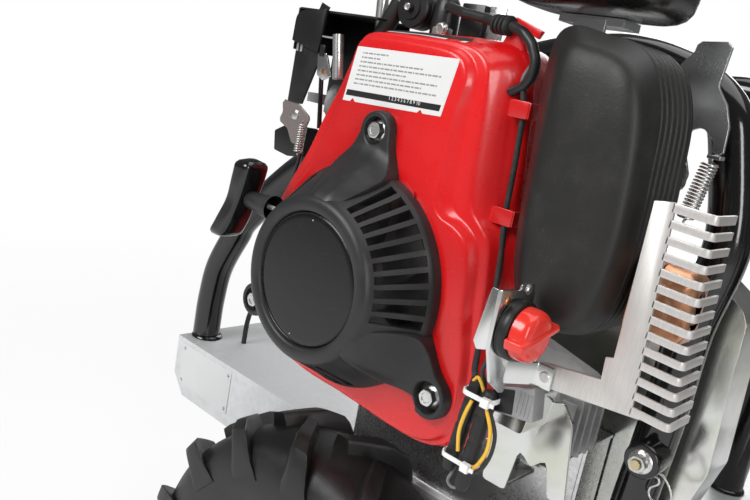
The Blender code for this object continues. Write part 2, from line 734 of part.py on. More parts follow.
def silencer_cover():
    """Black heat shield of the silencer: a crowned front with ribs round its side wall."""
    front = mm((146, 170), (170, 178), (190, 170), (201, 148), (206, 112), (207, 80), (206, 52), (199, 32),
               (180, 25), (160, 30), (150, 60), (145, 110))
    back = mm((124, 184), (160, 188), (190, 180), (206, 152), (209, 114), (209, 80), (208, 48), (200, 28),
              (180, 20), (145, 22), (130, 50), (125, 110))
    front = smooth_ring(front, 18)
    back = smooth_ring(back, 18)

    def ring(blend, y, inset):
        curve = (1.0 - blend) * front + blend * back
        away = curve - curve.mean(axis=0)
        reach = np.linalg.norm(away, axis=1)[:, None]
        return [(x, y, z) for x, z in curve.mean(axis=0) + away * (reach - inset) / reach]
    start = SILENCER_COVER_FRONT
    rings = [ring(0.0, start, 0.020), ring(0.0, start + 0.001, 0.006), ring(0.2, start + 0.005, 0.0),
             ring(0.6, start + 0.012, 0.0)]
    pitch = 0.0115
    for index in range(RIB_COUNT):
        low = start + 0.022 + pitch * index
        rings += [ring(1.0, low, 0.0), ring(1.0, low + 0.0026, 0.0035), ring(1.0, low + 0.0052, 0.0)]
    rings.append(ring(1.0, start + 0.080, 0.0))
    cavity = [ring(0.8, start + 0.012, 0.012), ring(1.0, start + 0.020, 0.0065), ring(1.0, start + 0.090, 0.0065)]
    outlet = block((0.180, 0.0447, 0.0337), (0.240, 0.0953, 0.0923))
    piece("silencer_cover", [loft(rings)], black_plastic(), engine, [loft(cavity), outlet])


def silencer():
    """Silencer box behind its cover, with the copper-tinted outlet side and the port pipe."""
    rings = []
    for y, inset in ((0.048, 0.012), (0.052, 0.006), (0.130, 0.006), (0.134, 0.012)):
        outline = rounded([(0.134 + inset, 0.030 + inset), (0.200 - inset, 0.030 + inset),
                           (0.200 - inset, 0.160 - inset), (0.134 + inset, 0.160 - inset)], 0.012, 2)
        rings.append([(u, y, v) for u, v in outline])
    outlet = []
    for x, inset in ((0.185, 0.0), (0.228, 0.0), (0.235, 0.006)):
        outline = rounded([(0.045 + inset, 0.034 + inset), (0.095 - inset, 0.034 + inset),
                           (0.095 - inset, 0.092 - inset), (0.045 + inset, 0.092 - inset)], 0.010, 2)
        outlet.append([(x, u, v) for u, v in outline])
    port = rod((0.0466, 0.1235, 0.112), (0.150, 0.1235, 0.112), 0.009, sides=12)
    pin = turned_y([(0.0070, 0.1300), (0.0070, LEVER_Y - GAP), (0.0040, LEVER_Y - GAP),
                    (0.0040, LEVER_Y + LEVER_T + GAP), (0.0065, LEVER_Y + LEVER_T + GAP),
                    (0.0065, LEVER_Y + LEVER_T + 0.0023)], (LEVER_PIVOT[0], 0.0, LEVER_PIVOT[1]), 10)
    hook = block((0.1830, 0.1280, 0.0845), (0.1890, 0.1475, 0.0874))
    post = rod((0.217, GUARD_FRONT + THIN_SHEET + GAP, 0.062), (0.217, 0.050, 0.062), 0.004, sides=8)
    piece("silencer", [loft(rings), loft(outlet), port, pin, hook, post], material("tinted_steel", (0.55, 0.30, 0.18), 0.35, 0.9),
          engine)


def exhaust_guard():
    """Folded stainless comb that keeps hands off the silencer."""
    t = THIN_SHEET
    top_x, top_z = GUARD_BEND_TOP
    low_x, low_z = GUARD_BEND_LOW
    outline = [(0.2115, 0.1090), (0.2125, 0.0240), (0.2080, 0.0230), (0.2090, 0.0100), (0.1720, 0.0060),
               (0.1740, -0.0080), (0.2340, -0.0025), (low_x, low_z), (top_x, top_z)]
    plate = slab_y(outline, GUARD_FRONT, GUARD_FRONT + t)
    side = loft([[(low_x - t, y, low_z), (low_x, y, low_z), (top_x, y, top_z), (top_x - t, y, top_z)]
                 for y in (GUARD_FRONT, GUARD_FRONT + GUARD_DEPTH)])
    cuts = []
    for index in range(FINGERS):
        level = 0.1040 - 0.00825 * index
        left = 0.2220 + 0.0005 * index
        drop = 0.0012
        outline = [(left, level - 0.0021), (0.262, level - 0.0021 + drop), (0.262, level + 0.0021 + drop),
                   (left, level + 0.0021)]
        cuts.append(slab_y(outline, GUARD_FRONT - 0.002, GUARD_FRONT + GUARD_DEPTH + 0.002))
    hole = rod((0.181, 0.020, -0.0005), (0.181, 0.030, -0.0005), BOLT_R + GAP, sides=8)
    piece("exhaust_guard", [plate, side], stainless(), engine, cuts + [hole])


def stop_switch():
    """Zinc bracket on the comb's arm, with the black collar of the stop switch and its red winged knob."""
    t = THIN_SHEET
    centre = (0.0, SWITCH_Y, SWITCH_Z)
    sheet = rounded(mm((-17, 14.4), (-17, 49), (18, 46), (18, 10), (9, 5.5), (9, -14.5), (4, -13.5), (-8, -5.5)),
                    0.0015, 1)
    plate = slab_x(sheet, SWITCH_X - t, SWITCH_X)
    inside = SWITCH_X - t / 4
    flange = slab_y([(inside, 0.0480), (0.1565, 0.0485), (0.1520, 0.0170), (0.1550, 0.0125), (inside, 0.0155)],
                    -0.0168, -0.0150)
    front = GUARD_FRONT - GAP - t
    foot = slab_z([(inside, 0.0050), (0.1735, front), (0.1880, front), (0.1880, front + t), (0.1723, front + t),
                   (SWITCH_X - 3 * t / 4, 0.0062)], -0.0140, 0.0050)
    screw = turned_y([(0.0046, front - 0.0030, 6), (0.0050, front + t / 2, 6), (BOLT_R, front + t / 2),
                      (BOLT_R, GUARD_FRONT + t + 0.006)], (0.181, 0.0, -0.0005), 12)
    hole = turned_x([(0.0060, SWITCH_X - 0.005), (0.0060, SWITCH_X + 0.005)], centre, 16)
    piece("switch_bracket", [plate, flange, foot, screw], zinc(), engine, [hole])
    seat = SWITCH_X + GAP
    collar = turned_x([(0.0160, seat + COLLAR_T), (0.0170, seat + COLLAR_T - 0.0010), (0.0170, seat),
                       (0.0055, seat), (0.0055, seat - 0.0070)], centre, 16)
    stem_bore = turned_x([(0.0044, seat + 0.010), (0.0044, seat - 0.009)], centre, 16)
    piece("stop_switch_body", [collar], black_plastic(), engine, [stem_bore])
    face = seat + COLLAR_T + GAP
    knob = turned_x([(0.0115, face + 0.0110), (0.0140, face + 0.0098), (0.0150, face + 0.0070), (0.0150, face),
                     (0.0040, face), (0.0040, seat - 0.0040)], centre, 16)
    wing = slab_x([(SWITCH_Y + y, SWITCH_Z + z) for y, z in mm((-17.9, -6.9), (18.8, 2.8), (18.0, 6.6), (-19.1, -1.7))],
                  face + 0.0006, face + 0.0122)
    piece("stop_knob", [knob, wing], red(), engine)


def wiring():
    """Sleeved connectors held by two ties, the wires to the switch and the sleeved stop wire."""
    high_a, low_a = Vector((0.1385, 0.0180, -0.024)), Vector((0.1395, 0.0180, -0.080))
    high_b, low_b = Vector((0.1500, 0.0150, -0.026)), Vector((0.1530, 0.0150, -0.080))
    shapes = [rod(high_a, low_a, 0.0046, sides=8), rod(high_b, low_b, 0.0046, sides=8)]
    for level in (-0.030, -0.070):
        part = (level - high_a.z) / (low_a.z - high_a.z)
        left, right = high_a.lerp(low_a, part), high_b.lerp(low_b, part)
        middle = 0.5 * (left + right)
        reach = 0.5 * (right.x - left.x) + 0.0046
        outer = band(middle, reach + 0.0006, 0.0068)
        inner = band(middle, reach - 0.0006, 0.0056)
        shapes.append(loft([[(x, y, z + level) for x, y in ring]
                            for ring, z in ((outer, -0.0013), (outer, 0.0013), (inner, 0.0013), (inner, -0.0013))],
                           closed=True))
    piece("wire_connectors", shapes, black_plastic(), engine)
    tube("stop_wire", stop_wire_path(), STOP_WIRE_R, black_plastic(), engine, 1)


def band(middle, half_x, half_y):
    """The outline of a tie, seen from above."""
    corners = [(middle.x - half_x, middle.y - half_y), (middle.x + half_x, middle.y - half_y),
               (middle.x + half_x, middle.y + half_y), (middle.x - half_x, middle.y + half_y)]
    return rounded(corners, 0.9 * half_y, 2)


def stop_wire_path():
    """The sleeved wire's way from inside the shroud, under both clips and down to its connector."""
    return bent(mm((93, 66.5, 156), (97.7, 65, 146), (101.7, 64.5, 114.5), (105, 64, 82), (108.5, 63, 51),
                   (113, 57, 25), (121, 40, -2), (132, 24, -15), (138.5, 18, -20.4), (138.5, 18, -23.6)), 0.02, 2)


def lead_path():
    """The spark plug lead's way from its cap over the shroud's shoulder and into the shroud's side."""
    return bent(mm((-11, 110.3, 200), (6, 90, 198), (28, 80, 194), (48, 78, 192), (66, 77, 190.5), (80, 77, 189),
                   (90, 76, 182), (97, 76, 171), (98, 76, 161), (94, 75, 152.5), (84, 74, 147)), 0.010, 2)


def ignition_lead():
    """Spark plug lead: over the shroud's shoulder and down into it, with its ribbed grommet and plug cap."""
    tube("ignition_lead", lead_path(), LEAD_R, rubber(), engine, 1)
    ribs = []
    start, end = Vector((0.062, 0.0772, 0.1909)), Vector((0.075, 0.0770, 0.1896))
    along = (end - start).normalized()
    side = Vector((0.0, 1.0, 0.0)).cross(along).normalized()
    up = along.cross(side)
    for index in range(4):
        for part, radius in ((0.0, 0.0052), (0.35, 0.0074), (0.80, 0.0074)):
            centre = start.lerp(end, (index + part) / 4.0)
            ribs.append([centre + side * u + up * v for u, v in circle(radius, 8)])
    core = rod(start - along * 0.004, end + along * 0.004, LEAD_R + 0.0006, sides=8)
    piece("lead_grommet", [loft(ribs)], rubber(), engine, [core])
    cap = turned_z([(0.0105, ROCKER_TOP + GAP), (0.0105, 0.190), (0.0090, 0.205), (0.0060, 0.208)], (-0.0178, 0.118, 0.0), 12)
    piece("spark_plug_cap", [cap], rubber(), engine)


def controls():
    """Black cover box of the controls with the bent bracket, the throttle arm and its spring."""
    strip = slab_y(rounded(mm((-160, 166), (-154, 178), (-122, 180), (-122, 150), (-133, 96), (-146, 88),
                              (-149, 62), (-166, 40), (-166, 66), (-156, 96)), 0.004, 1), 0.0960, 0.0980)
    roof = slab_x([(0.0970, 0.1500), (0.0970, 0.1785), (0.1500, 0.1785), (0.1500, 0.1500)], -0.1245, -0.1225)
    lid = block((-0.156, 0.0970, 0.1765), (-0.1225, 0.1500, 0.1785))
    wall = block((-0.1580, 0.0970, 0.0980), (-0.1560, 0.1500, 0.1700))
    back = block((-0.1570, 0.1480, 0.0980), (-0.1235, 0.1500, 0.1780))
    bent_plate = slab_y(rounded(mm((-134, 168), (-92, 170), (-93, 150), (-100, 128), (-114, 126), (-118, 148), (-134, 152)),
                                0.003, 1), 0.0945, 0.0965)
    screw = turned_y([(0.0036, 0.0912), (0.0042, 0.0918), (0.0042, 0.0932), (0.0022, 0.0932), (0.0022, 0.0970)],
                     (ARM_PIVOT[0], 0, ARM_PIVOT[1]), 16)
    piece("control_box", [strip, roof, lid, wall, back, bent_plate, screw], black_plastic(), engine)
    body = rod((-0.120, 0.124, 0.112), (-0.0745, 0.124, 0.112), 0.019, sides=14)
    bowl = rod((-0.098, 0.124, 0.070), (-0.098, 0.124, 0.108), 0.015, sides=12)
    flange = block((-0.0560, 0.105, 0.092), (-0.0500, 0.143, 0.132))
    throat = rod((-0.0760, 0.124, 0.112), (-0.0550, 0.124, 0.112), 0.013, sides=12)
    stub = block((-0.1560 + GAP, 0.118, 0.108), (-0.118, 0.130, 0.116))
    piece("carburettor", [body, bowl, throat, flange, stub], cast(), engine)


def throttle_arm():
    """Grey arm plate that turns on its screw, with the small spring that pulls it back."""
    plate = slab_y(rounded(mm((-160, 107), (-139, 106), (-122, 97), (-126, 86), (-129, 72), (-140, 72), (-148, 83),
                              (-161, 88), (-157, 96)), 0.0025, 1), 0.0935, 0.0955)
    bore = rod((ARM_PIVOT[0], 0.090, ARM_PIVOT[1]), (ARM_PIVOT[0], 0.098, ARM_PIVOT[1]), 0.0025, sides=16)
    piece("throttle_arm", [plate], zinc(), engine, [bore])
    points = 8
    path = coil((-0.1305, 0.0898, 0.0905), (-0.1330, 0.0898, 0.0640), 0.0026, 5, points, 0.0026)
    print("least gap in governor spring, mm:", round(1000 * least_coil_gap(path, 0.0006, points), 2))
    tube("governor_spring", path, 0.0006, steel(), engine, 1)


def tension_lever():
    """Hooked belt-tension lever with its tension spring, held on a pin of the silencer's side."""
    outline = mm((162, 201), (184, 203), (182, 175), (190, 165), (195, 152), (196, 133), (189.5, 133), (188, 142),
                 (179, 149), (171, 145), (173, 130), (178, 118), (176, 106), (164, 104), (157, 115), (156, 150),
                 (154, 185), (161, 194))
    plate = slab_y(rounded(outline, 0.003, 1), LEVER_Y, LEVER_Y + LEVER_T)
    ledge = block((0.1885, LEVER_Y - 0.006, 0.1310), (0.1970, LEVER_Y + LEVER_T, 0.1335))
    bore = rod((LEVER_PIVOT[0], 0.14, LEVER_PIVOT[1]), (LEVER_PIVOT[0], 0.16, LEVER_PIVOT[1]), 0.0044, sides=10)
    piece("tension_lever", [plate, ledge], zinc(), engine, [bore])
    points = 8
    path = coil((0.1925, 0.1442, 0.1302), (0.1860, 0.1442, 0.0880), 0.0038, 7, points, 0.0030)
    print("least gap in tension spring, mm:", round(1000 * least_coil_gap(path, 0.0007, points), 2))
    tube("tension_spring", path, 0.0007, steel(), engine, 1)


def support_bracket():
    """Formed zinc bracket under the engine, and the cast block in front of the sump."""
    outline = rounded(mm((128, -44), (172, -30), (180, -40), (188, -92), (176, -94), (170, -70), (160, -80),
                         (150, -72), (146, -104), (128, -104)), 0.003, 2)
    face = slab_y(outline, 0.0700, 0.0725)
    shelf = block((0.1290, 0.0710, -0.1030), (0.1450, CASE_FRONT + 0.002 - GAP, -0.1000))
    web = block((0.1300, 0.0712, -0.1020), (0.1325, CASE_FRONT + 0.002 - GAP, -0.0480))
    cast_block = slab_y(rounded(mm((139, -50), (162, -50), (166, -22), (146, -18)), 0.003, 2), 0.044, 0.0714)
    piece("support_bracket", [face, shelf, web, cast_block], zinc(), engine)


def build_engine():
    starter_cover()
    badge_disc()
    cover_bolts()
    starter_drum()
    recoil_grip()
    engine_shroud()
    crank_train()
    crankcase()
    cylinder()
    fuel_tank()
    silencer_cover()
    silencer()
    exhaust_guard()
    stop_switch()
    wiring()
    ignition_lead()
    controls()
    throttle_arm()
    tension_lever()
    support_bracket()


def deck():
    """Folded steel tray with the axle plates, the handlebar brackets and the reel stand."""
    low = DECK_TOP - FLANGE
    inner = DECK_HALF - SHEET
    under = DECK_TOP - SHEET
    tray = slab_x([(-DECK_HALF, low), (-DECK_HALF, DECK_TOP), (DECK_HALF, DECK_TOP), (DECK_HALF, low),
                   (inner, low), (inner, under), (-inner, under), (-inner, low)], DECK_FRONT, DECK_REAR)
    shapes = [tray, block((DECK_FRONT + 0.0004, -inner - 0.001, DECK_TOP - 0.045),
                          (DECK_FRONT + SHEET, inner + 0.001, DECK_TOP - 0.001))]
    for side in (-1, 1):
        near, far = sorted((side * PLATE_Y, side * (PLATE_Y + SHEET)))
        shapes.append(block((WHEEL_X - 0.040, near, AXLE_Z - 0.028), (WHEEL_X + 0.040, far, under + 0.001)))
        near, far = sorted((side * BRACKET_Y, side * (BRACKET_Y + SHEET)))
        shapes.append(block((PIVOT_X - 0.022, near, under + 0.001), (PIVOT_X + 0.022, far, PIVOT_Z + 0.020)))
        near, far = sorted((side * STAND_Y, side * (STAND_Y + SHEET)))
        shapes.append(slab_y([(-0.050, under + 0.001), (0.010, under + 0.001), (REEL_X + 0.020, REEL_Z - 0.010),
                              (REEL_X + 0.020, REEL_Z + 0.020), (REEL_X - 0.020, REEL_Z + 0.020)], near, far))
    wedge = [(DECK_FRONT - 0.001, low - 0.001), (DECK_FRONT + 0.022, low - 0.001), (DECK_FRONT - 0.001, low + 0.024)]
    cuts = [slab_y(wedge, -DECK_HALF - 0.002, DECK_HALF + 0.002),
            block((CASE_X - 0.100, CASE_Y - 0.004, under - 0.002), (CASE_X + 0.100, CASE_Y + CASE_W + 0.004, DECK_TOP + 0.002)),
            rod((CABLE_X, CABLE_Y, under - 0.01), (CABLE_X, CABLE_Y, DECK_TOP + 0.01), CABLE_R + 0.0004, sides=8),
            bearing((WHEEL_X, -0.15, AXLE_Z), (WHEEL_X, 0.15, AXLE_Z), AXLE_R, AXLE_SIDES),
            bearing((PIVOT_X, -0.16, PIVOT_Z), (PIVOT_X, 0.16, PIVOT_Z), PIVOT_R, PIVOT_SIDES),
            rod((REEL_X, -0.10, REEL_Z), (REEL_X, 0.10, REEL_Z), 0.009, sides=12)]
    piece("deck", shapes, zinc(), machine, cuts)


def engine_plate():
    """Pedestal on the deck that carries the engine beside the hoop."""
    top = ENGINE_Z - 0.096 - GAP
    front, back = ENGINE_X - 0.080, ENGINE_X + 0.152
    leg = SHEET + 0.001
    shelf = block((front, ENGINE_Y + 0.112, top - SHEET), (back, SHELF_IN_Y, top))
    left = block((front + 0.001, SHELF_OUT_Y, DECK_TOP + GAP), (front + leg, SHELF_IN_Y - 0.001, top - 0.001))
    right = block((back - leg, SHELF_OUT_Y, DECK_TOP + GAP), (back - 0.001, SHELF_IN_Y - 0.001, top - 0.001))
    wall = block((front + 0.002, SHELF_OUT_Y + 0.001, DECK_TOP + GAP + 0.001),
                 (back - 0.002, SHELF_OUT_Y + leg, top - 0.001))
    piece("engine_plate", [shelf, left, right, wall], zinc(), machine)


HOOP_POINTS = mm((-357, -202.7), (-357, -185), (-356, -154), (-349, -113), (-327, -69), (-308, -39), (-230, 35), (-110, 115),
                 (10, 172), (72, 188), (107, 189), (137, 183), (157, 175), (175, 160), (185, 138), (199, 76),
                 (191, 10), (190, -57), (186, -131), (184, -185), (184, -202.7))


def hoops():
    """The two bent tube hoops that stand on the deck, with the near hoop's bolted boss."""
    for name, side in (("hoop_near", -1), ("hoop_far", 1)):
        path = [(ENGINE_X + x, side * HOOP_Y, ENGINE_Z + z) for x, z in HOOP_POINTS]
        shapes = [tube_shape(path, HOOP_R, 8)]
        if side < 0:
            centre = (ENGINE_X + 0.1935, ENGINE_Y, ENGINE_Z - 0.086)
            shapes.append(turned_y([(0.0060, 0.1580, 6), (0.0065, 0.1590, 6), (0.0065, 0.1660, 6), (0.0085, 0.1675),
                                    (0.0085, 0.1690), (0.0130, 0.1695), (0.0130, 0.1920)], centre, 12))
        piece(name, shapes, black_paint(), machine)


def tyre(name, middle, hand):
    """Lugged tyre, ring by ring round its axle: one row of slanting lugs to each shoulder, half a pitch apart."""
    half = TYRE_W / 2
    seat = RIM_R + GAP
    columns = ((seat, -0.40, 0, 0.0), (TYRE_R * 0.85, -1.0, 0, 0.0), (TYRE_R - 0.006, -0.86, -1, -0.06),
               (TYRE_R, -0.06, -1, 0.06), (TYRE_R, 0.06, 1, 0.06), (TYRE_R - 0.006, 0.86, 1, -0.06),
               (TYRE_R * 0.85, 1.0, 0, 0.0), (seat, 0.40, 0, 0.0))
    rings = []
    for index in range(4 * LUGS):
        ring = []
        for radius, across, row, lag in columns:
            raised = row and (index + row) % 4 < 2
            reach = radius + (LUG_H if raised else 0.0)
            angle = 2.0 * math.pi * (index + 0.5) / (4 * LUGS) + hand * lag
            ring.append((WHEEL_X + reach * math.cos(angle), middle + across * half, AXLE_Z + reach * math.sin(angle)))
        rings.append(ring)
    piece(name, [loft(rings, closed=True)], rubber(), machine)


def wheels():
    """Axle with its two rims and tyres."""
    shaft = rod((WHEEL_X, -0.290, AXLE_Z), (WHEEL_X, 0.290, AXLE_Z), AXLE_R, sides=AXLE_SIDES)
    piece("axle", [shaft], steel(), machine)
    for name, side in (("near", -1), ("far", 1)):
        middle = side * TRACK_MIDDLE
        half = TYRE_W / 2
        profile = [(0.022, -0.60 * half), (0.022, -0.08 * half), (RIM_R - 0.012, -0.16 * half),
                   (RIM_R - 0.006, -0.56 * half), (RIM_R, -0.56 * half), (RIM_R, 0.50 * half),
                   (RIM_R - 0.012, 0.16 * half), (0.022, 0.08 * half), (0.022, 0.60 * half)]
        if side < 0:
            rows = profile
        else:
            rows = [(radius, -y) for radius, y in profile]
        rim = turned_y(rows, (WHEEL_X, middle, AXLE_Z), 18)
        bore = rod((WHEEL_X, middle - 0.06, AXLE_Z), (WHEEL_X, middle + 0.06, AXLE_Z), AXLE_R + GAP, sides=AXLE_SIDES)
        piece(f"rim_{name}", [rim], black_paint(), machine, [bore])
        tyre(f"tyre_{name}", middle, side)


def belt_drive():
    """Belt from the engine down to the chain case, under its galvanised cover."""
    x, y, z = DRIVE_X - ENGINE_X, 0.0, DRIVE_Z - ENGINE_Z
    wheel = pulley(DRIVE_R, PULLEY_FRONT, PULLEY_BACK, (x, y, z))
    shaft = rod((x, PULLEY_FRONT - 0.002, z), (x, ENGINE_TO_CASE + 0.025, z), 0.009, sides=12)
    piece("drive_pulley", [wheel, shaft], cast(), engine)
    far = Vector((x, z))
    turn = math.atan2(z, x)
    open_angle = math.acos((PULLEY_R - DRIVE_R) / far.length)

    def loop(shrink):
        outline = []
        for centre, radius, first, last in ((Vector((0, 0)), PULLEY_R - shrink, open_angle, 2 * math.pi - open_angle),
                                            (far, DRIVE_R - shrink, -open_angle, open_angle)):
            for step in range(7):
                angle = turn + first + (last - first) * step / 6
                outline.append(centre + radius * Vector((math.cos(angle), math.sin(angle))))
        return outline
    middle = 0.5 * (PULLEY_FRONT + PULLEY_BACK)
    wide, narrow = loop(-0.001), loop(0.006)
    rings = [[(u, middle + depth, v) for u, v in outline]
             for outline, depth in ((wide, -0.0055), (wide, 0.0055), (narrow, 0.0030), (narrow, -0.0030))]
    piece("drive_belt", [loft(rings, closed=True)], rubber(), engine)
    outline = rounded(mm((-52, -4), (-38, 40), (0, 54), (186, 50), (221, 28), (226, -95), (212, -150), (160, -168),
                         (96, -168), (-34, -44)), 0.012, 1)
    inner = rounded(mm((-49, -4), (-36, 38), (0, 51), (185, 47), (218, 27), (223, -95), (210, -148), (160, -165),
                       (98, -165), (-31, -42)), 0.012, 1)
    front = PULLEY_FRONT - 0.006
    foot = block((0.120, front + 0.001, DECK_TOP - ENGINE_Z + GAP), (0.200, front + 0.004, -0.160))
    piece("belt_cover", [slab_y(outline, front, front + 0.044), foot], zinc(), engine,
          [slab_y(inner, front + 0.0025, front + 0.050),
           rod((0, 0.2, 0), (0, 0.3, 0), 0.020, sides=16)])


def chain_case():
    """Closed chain case from the belt pulley, through the deck, to the axle."""
    ends = ((DRIVE_X, DRIVE_Z, 0.040), (WHEEL_X, AXLE_Z, 0.044))
    along = Vector((DRIVE_X - WHEEL_X, DRIVE_Z - AXLE_Z))
    turn = math.atan2(along.y, along.x)
    outline = []
    for (x, z, radius), first in zip(ends, (-90.0, 90.0)):
        for step in range(7):
            angle = turn + math.radians(first + 30.0 * step)
            outline.append((x + radius * math.cos(angle), z + radius * math.sin(angle)))
    body = slab_y(outline, CASE_Y, CASE_Y + CASE_W)
    hub = rod((WHEEL_X, CASE_Y - 0.010, AXLE_Z), (WHEEL_X, CASE_Y + CASE_W + 0.010, AXLE_Z), 0.024, sides=20)
    cuts = [bearing((WHEEL_X, CASE_Y - 0.05, AXLE_Z), (WHEEL_X, CASE_Y + 0.12, AXLE_Z), AXLE_R, AXLE_SIDES),
            rod((DRIVE_X, CASE_Y - 0.01, DRIVE_Z), (DRIVE_X, CASE_Y + 0.030, DRIVE_Z), 0.009 + GAP, sides=12)]
    piece("chain_case", [body, hub], cast(), machine, cuts)


def rear_unit():
    """Rear frame with its blade sleeve and fork, the trench blade with its guide tube, and the press wheel."""
    under = DECK_TOP - SHEET - GAP
    top = PRESS_R + 0.100
    beam = slab_y([(-0.030, under), (0.075, under), (PRESS_X + 0.012, top + 0.050), (PRESS_X + 0.012, top),
                   (BLADE_X + 0.045, top), (0.060, under - 0.060), (-0.030, under - 0.050)], -0.020, 0.020)
    shapes = [beam]
    for side in (-1, 1):
        near, far = sorted((side * 0.0190, side * 0.0235))
        shapes.append(slab_y([(PRESS_X - 0.030, top + 0.042), (PRESS_X + 0.010, top + 0.045), (PRESS_X + 0.014, PRESS_R - 0.014),
                              (PRESS_X - 0.014, PRESS_R - 0.014)], near, far))
    shapes.append(rod((PRESS_X, -0.026, PRESS_R), (PRESS_X, 0.026, PRESS_R), 0.006, sides=14))
    sleeve = block((BLADE_X - 0.0255, -0.0045, 0.10), (BLADE_X + 0.0255, 0.0045, 0.42))
    piece("rear_frame", shapes, zinc(), machine, [sleeve])
    blade = slab_y([(BLADE_X - 0.025, 0.420), (BLADE_X - 0.025, 0.060), (BLADE_X - 0.045, 0.024),
                    (BLADE_X + 0.025, 0.024), (BLADE_X + 0.025, 0.420)], -0.004, 0.004)
    guide = rod((BLADE_X + 0.033, 0.0, 0.028), (BLADE_X + 0.033, 0.0, top - 0.012), 0.0090, sides=12)
    bore = rod((BLADE_X + 0.033, 0.0, 0.020), (BLADE_X + 0.033, 0.0, top), 0.0060, sides=12)
    handle = rod((BLADE_X, -0.055, 0.432), (BLADE_X, 0.055, 0.432), 0.014, sides=12)
    piece("trench_blade", [blade, guide, handle], steel(), machine, [bore])
    wheel = turned_y([(0.020, -0.0175), (PRESS_R - 0.024, -0.0100), (PRESS_R - 0.010, -0.0165), (PRESS_R, -0.0080),
                      (PRESS_R, 0.0080), (PRESS_R - 0.010, 0.0165), (PRESS_R - 0.024, 0.0100), (0.020, 0.0175)],
                     (PRESS_X, 0.0, PRESS_R), 18)
    piece("press_wheel", [wheel], rubber(), machine,
          [rod((PRESS_X, -0.03, PRESS_R), (PRESS_X, 0.03, PRESS_R), 0.006 + GAP, sides=14)])


def cable_reel():
    """Reel for the buried wire, turning in the stand of the deck."""
    reel = turned_y([(0.008, -0.084), (0.008, -0.066), (REEL_R, -0.063), (REEL_R, -0.060), (0.045, -0.055),
                     (0.045, 0.055), (REEL_R, 0.060), (REEL_R, 0.063), (0.008, 0.066), (0.008, 0.084)],
                    (REEL_X, 0.0, REEL_Z), 14)
    piece("cable_reel", [reel], black_plastic(), machine)


def handlebar():
    """Two bent tubes with a cross tube, grips, a clutch lever and a thumb throttle lever."""
    shapes = []
    for side in (-1, 1):
        path = bent([(PIVOT_X, side * BAR_Y, PIVOT_Z), (0.120, side * BAR_Y, 0.480), (0.480, side * 0.225, 0.930),
                     (0.560, side * GRIP_Y, GRIP_Z), (GRIP_END - 0.002, side * GRIP_Y, GRIP_Z)], 0.06, 2)
        shapes.append(tube_shape(path, BAR_R, 8))
        shapes.append(rod((PIVOT_X, side * (BAR_Y - 0.008), PIVOT_Z), (PIVOT_X, side * (BRACKET_Y + 0.010), PIVOT_Z),
                          PIVOT_R, sides=PIVOT_SIDES))
    shapes.append(rod((0.400, -0.206, 0.832), (0.400, 0.206, 0.832), 0.010, sides=8))
    for y in (-GRIP_Y - 0.0075, -GRIP_Y + 0.0040):
        shapes.append(block((LEVER_X - 0.009, y, LEVER_Z - 0.008), (LEVER_X + 0.009, y + 0.0035, GRIP_Z - 0.004)))
    shapes.append(rod((LEVER_X, -GRIP_Y - 0.0078, LEVER_Z), (LEVER_X, -GRIP_Y + 0.0078, LEVER_Z), 0.003, sides=8))
    shapes.append(turned_z([(0.0090, GRIP_Z + 0.004), (0.0090, THUMB_Z - GAP), (0.0030, THUMB_Z - GAP),
                            (0.0030, THUMB_Z + 0.0035), (0.0060, THUMB_Z + 0.0035), (0.0060, THUMB_Z + 0.0050)],
                           (LEVER_X, GRIP_Y, 0.0), 8))
    piece("handlebar", shapes, black_paint(), machine)
    for name, side in (("near", -1), ("far", 1)):
        grip = rod((GRIP_START, side * GRIP_Y, GRIP_Z), (GRIP_END + 0.003, side * GRIP_Y, GRIP_Z), 0.0165, sides=12)
        bore = rod((GRIP_START - 0.01, side * GRIP_Y, GRIP_Z), (GRIP_END - 0.001, side * GRIP_Y, GRIP_Z), BAR_R + 0.0007, sides=12)
        piece(f"grip_{name}", [grip], rubber(), machine, [bore])
    lever = slab_y(rounded([(LEVER_X - 0.008, LEVER_Z - 0.006), (LEVER_X + 0.010, LEVER_Z - 0.008), (GRIP_END, LEVER_Z - 0.024),
                            (GRIP_END, LEVER_Z - 0.015), (LEVER_X + 0.010, LEVER_Z + 0.007), (LEVER_X - 0.008, LEVER_Z + 0.006)],
                           0.003, 2), -GRIP_Y - 0.0037, -GRIP_Y + 0.0037)
    piece("clutch_lever", [lever], black_plastic(), machine,
          [rod((LEVER_X, -GRIP_Y - 0.01, LEVER_Z), (LEVER_X, -GRIP_Y + 0.01, LEVER_Z), 0.003 + GAP, sides=10)])
    thumb = slab_z(rounded([(LEVER_X - 0.008, GRIP_Y + 0.008), (LEVER_X - 0.008, GRIP_Y - 0.008), (LEVER_X - 0.005, GRIP_Y - 0.034),
                            (LEVER_X + 0.005, GRIP_Y - 0.034), (LEVER_X + 0.008, GRIP_Y - 0.008), (LEVER_X + 0.008, GRIP_Y + 0.008)],
                           0.004, 2), THUMB_Z, THUMB_Z + 0.003)
    piece("throttle_lever", [thumb], black_plastic(), machine,
          [rod((LEVER_X, GRIP_Y, THUMB_Z - 0.01), (LEVER_X, GRIP_Y, THUMB_Z + 0.01), 0.003 + GAP, sides=10)])


def control_cable():
    """Thin cable from the deck's hole up behind the engine to its cable bracket."""
    path = bent([(CABLE_X, CABLE_Y, DECK_TOP - 0.030), (CABLE_X, CABLE_Y, DECK_TOP + 0.030),
                 (CABLE_X + 0.030, CABLE_Y - 0.010, DECK_TOP + 0.090), (CABLE_X + 0.110, CABLE_Y - 0.040, DECK_TOP + 0.180),
                 (CABLE_X + 0.165, CABLE_Y - 0.060, DECK_TOP + 0.300)], 0.06, 3)
    tube("control_cable", path, CABLE_R, black_plastic(), machine, 1)


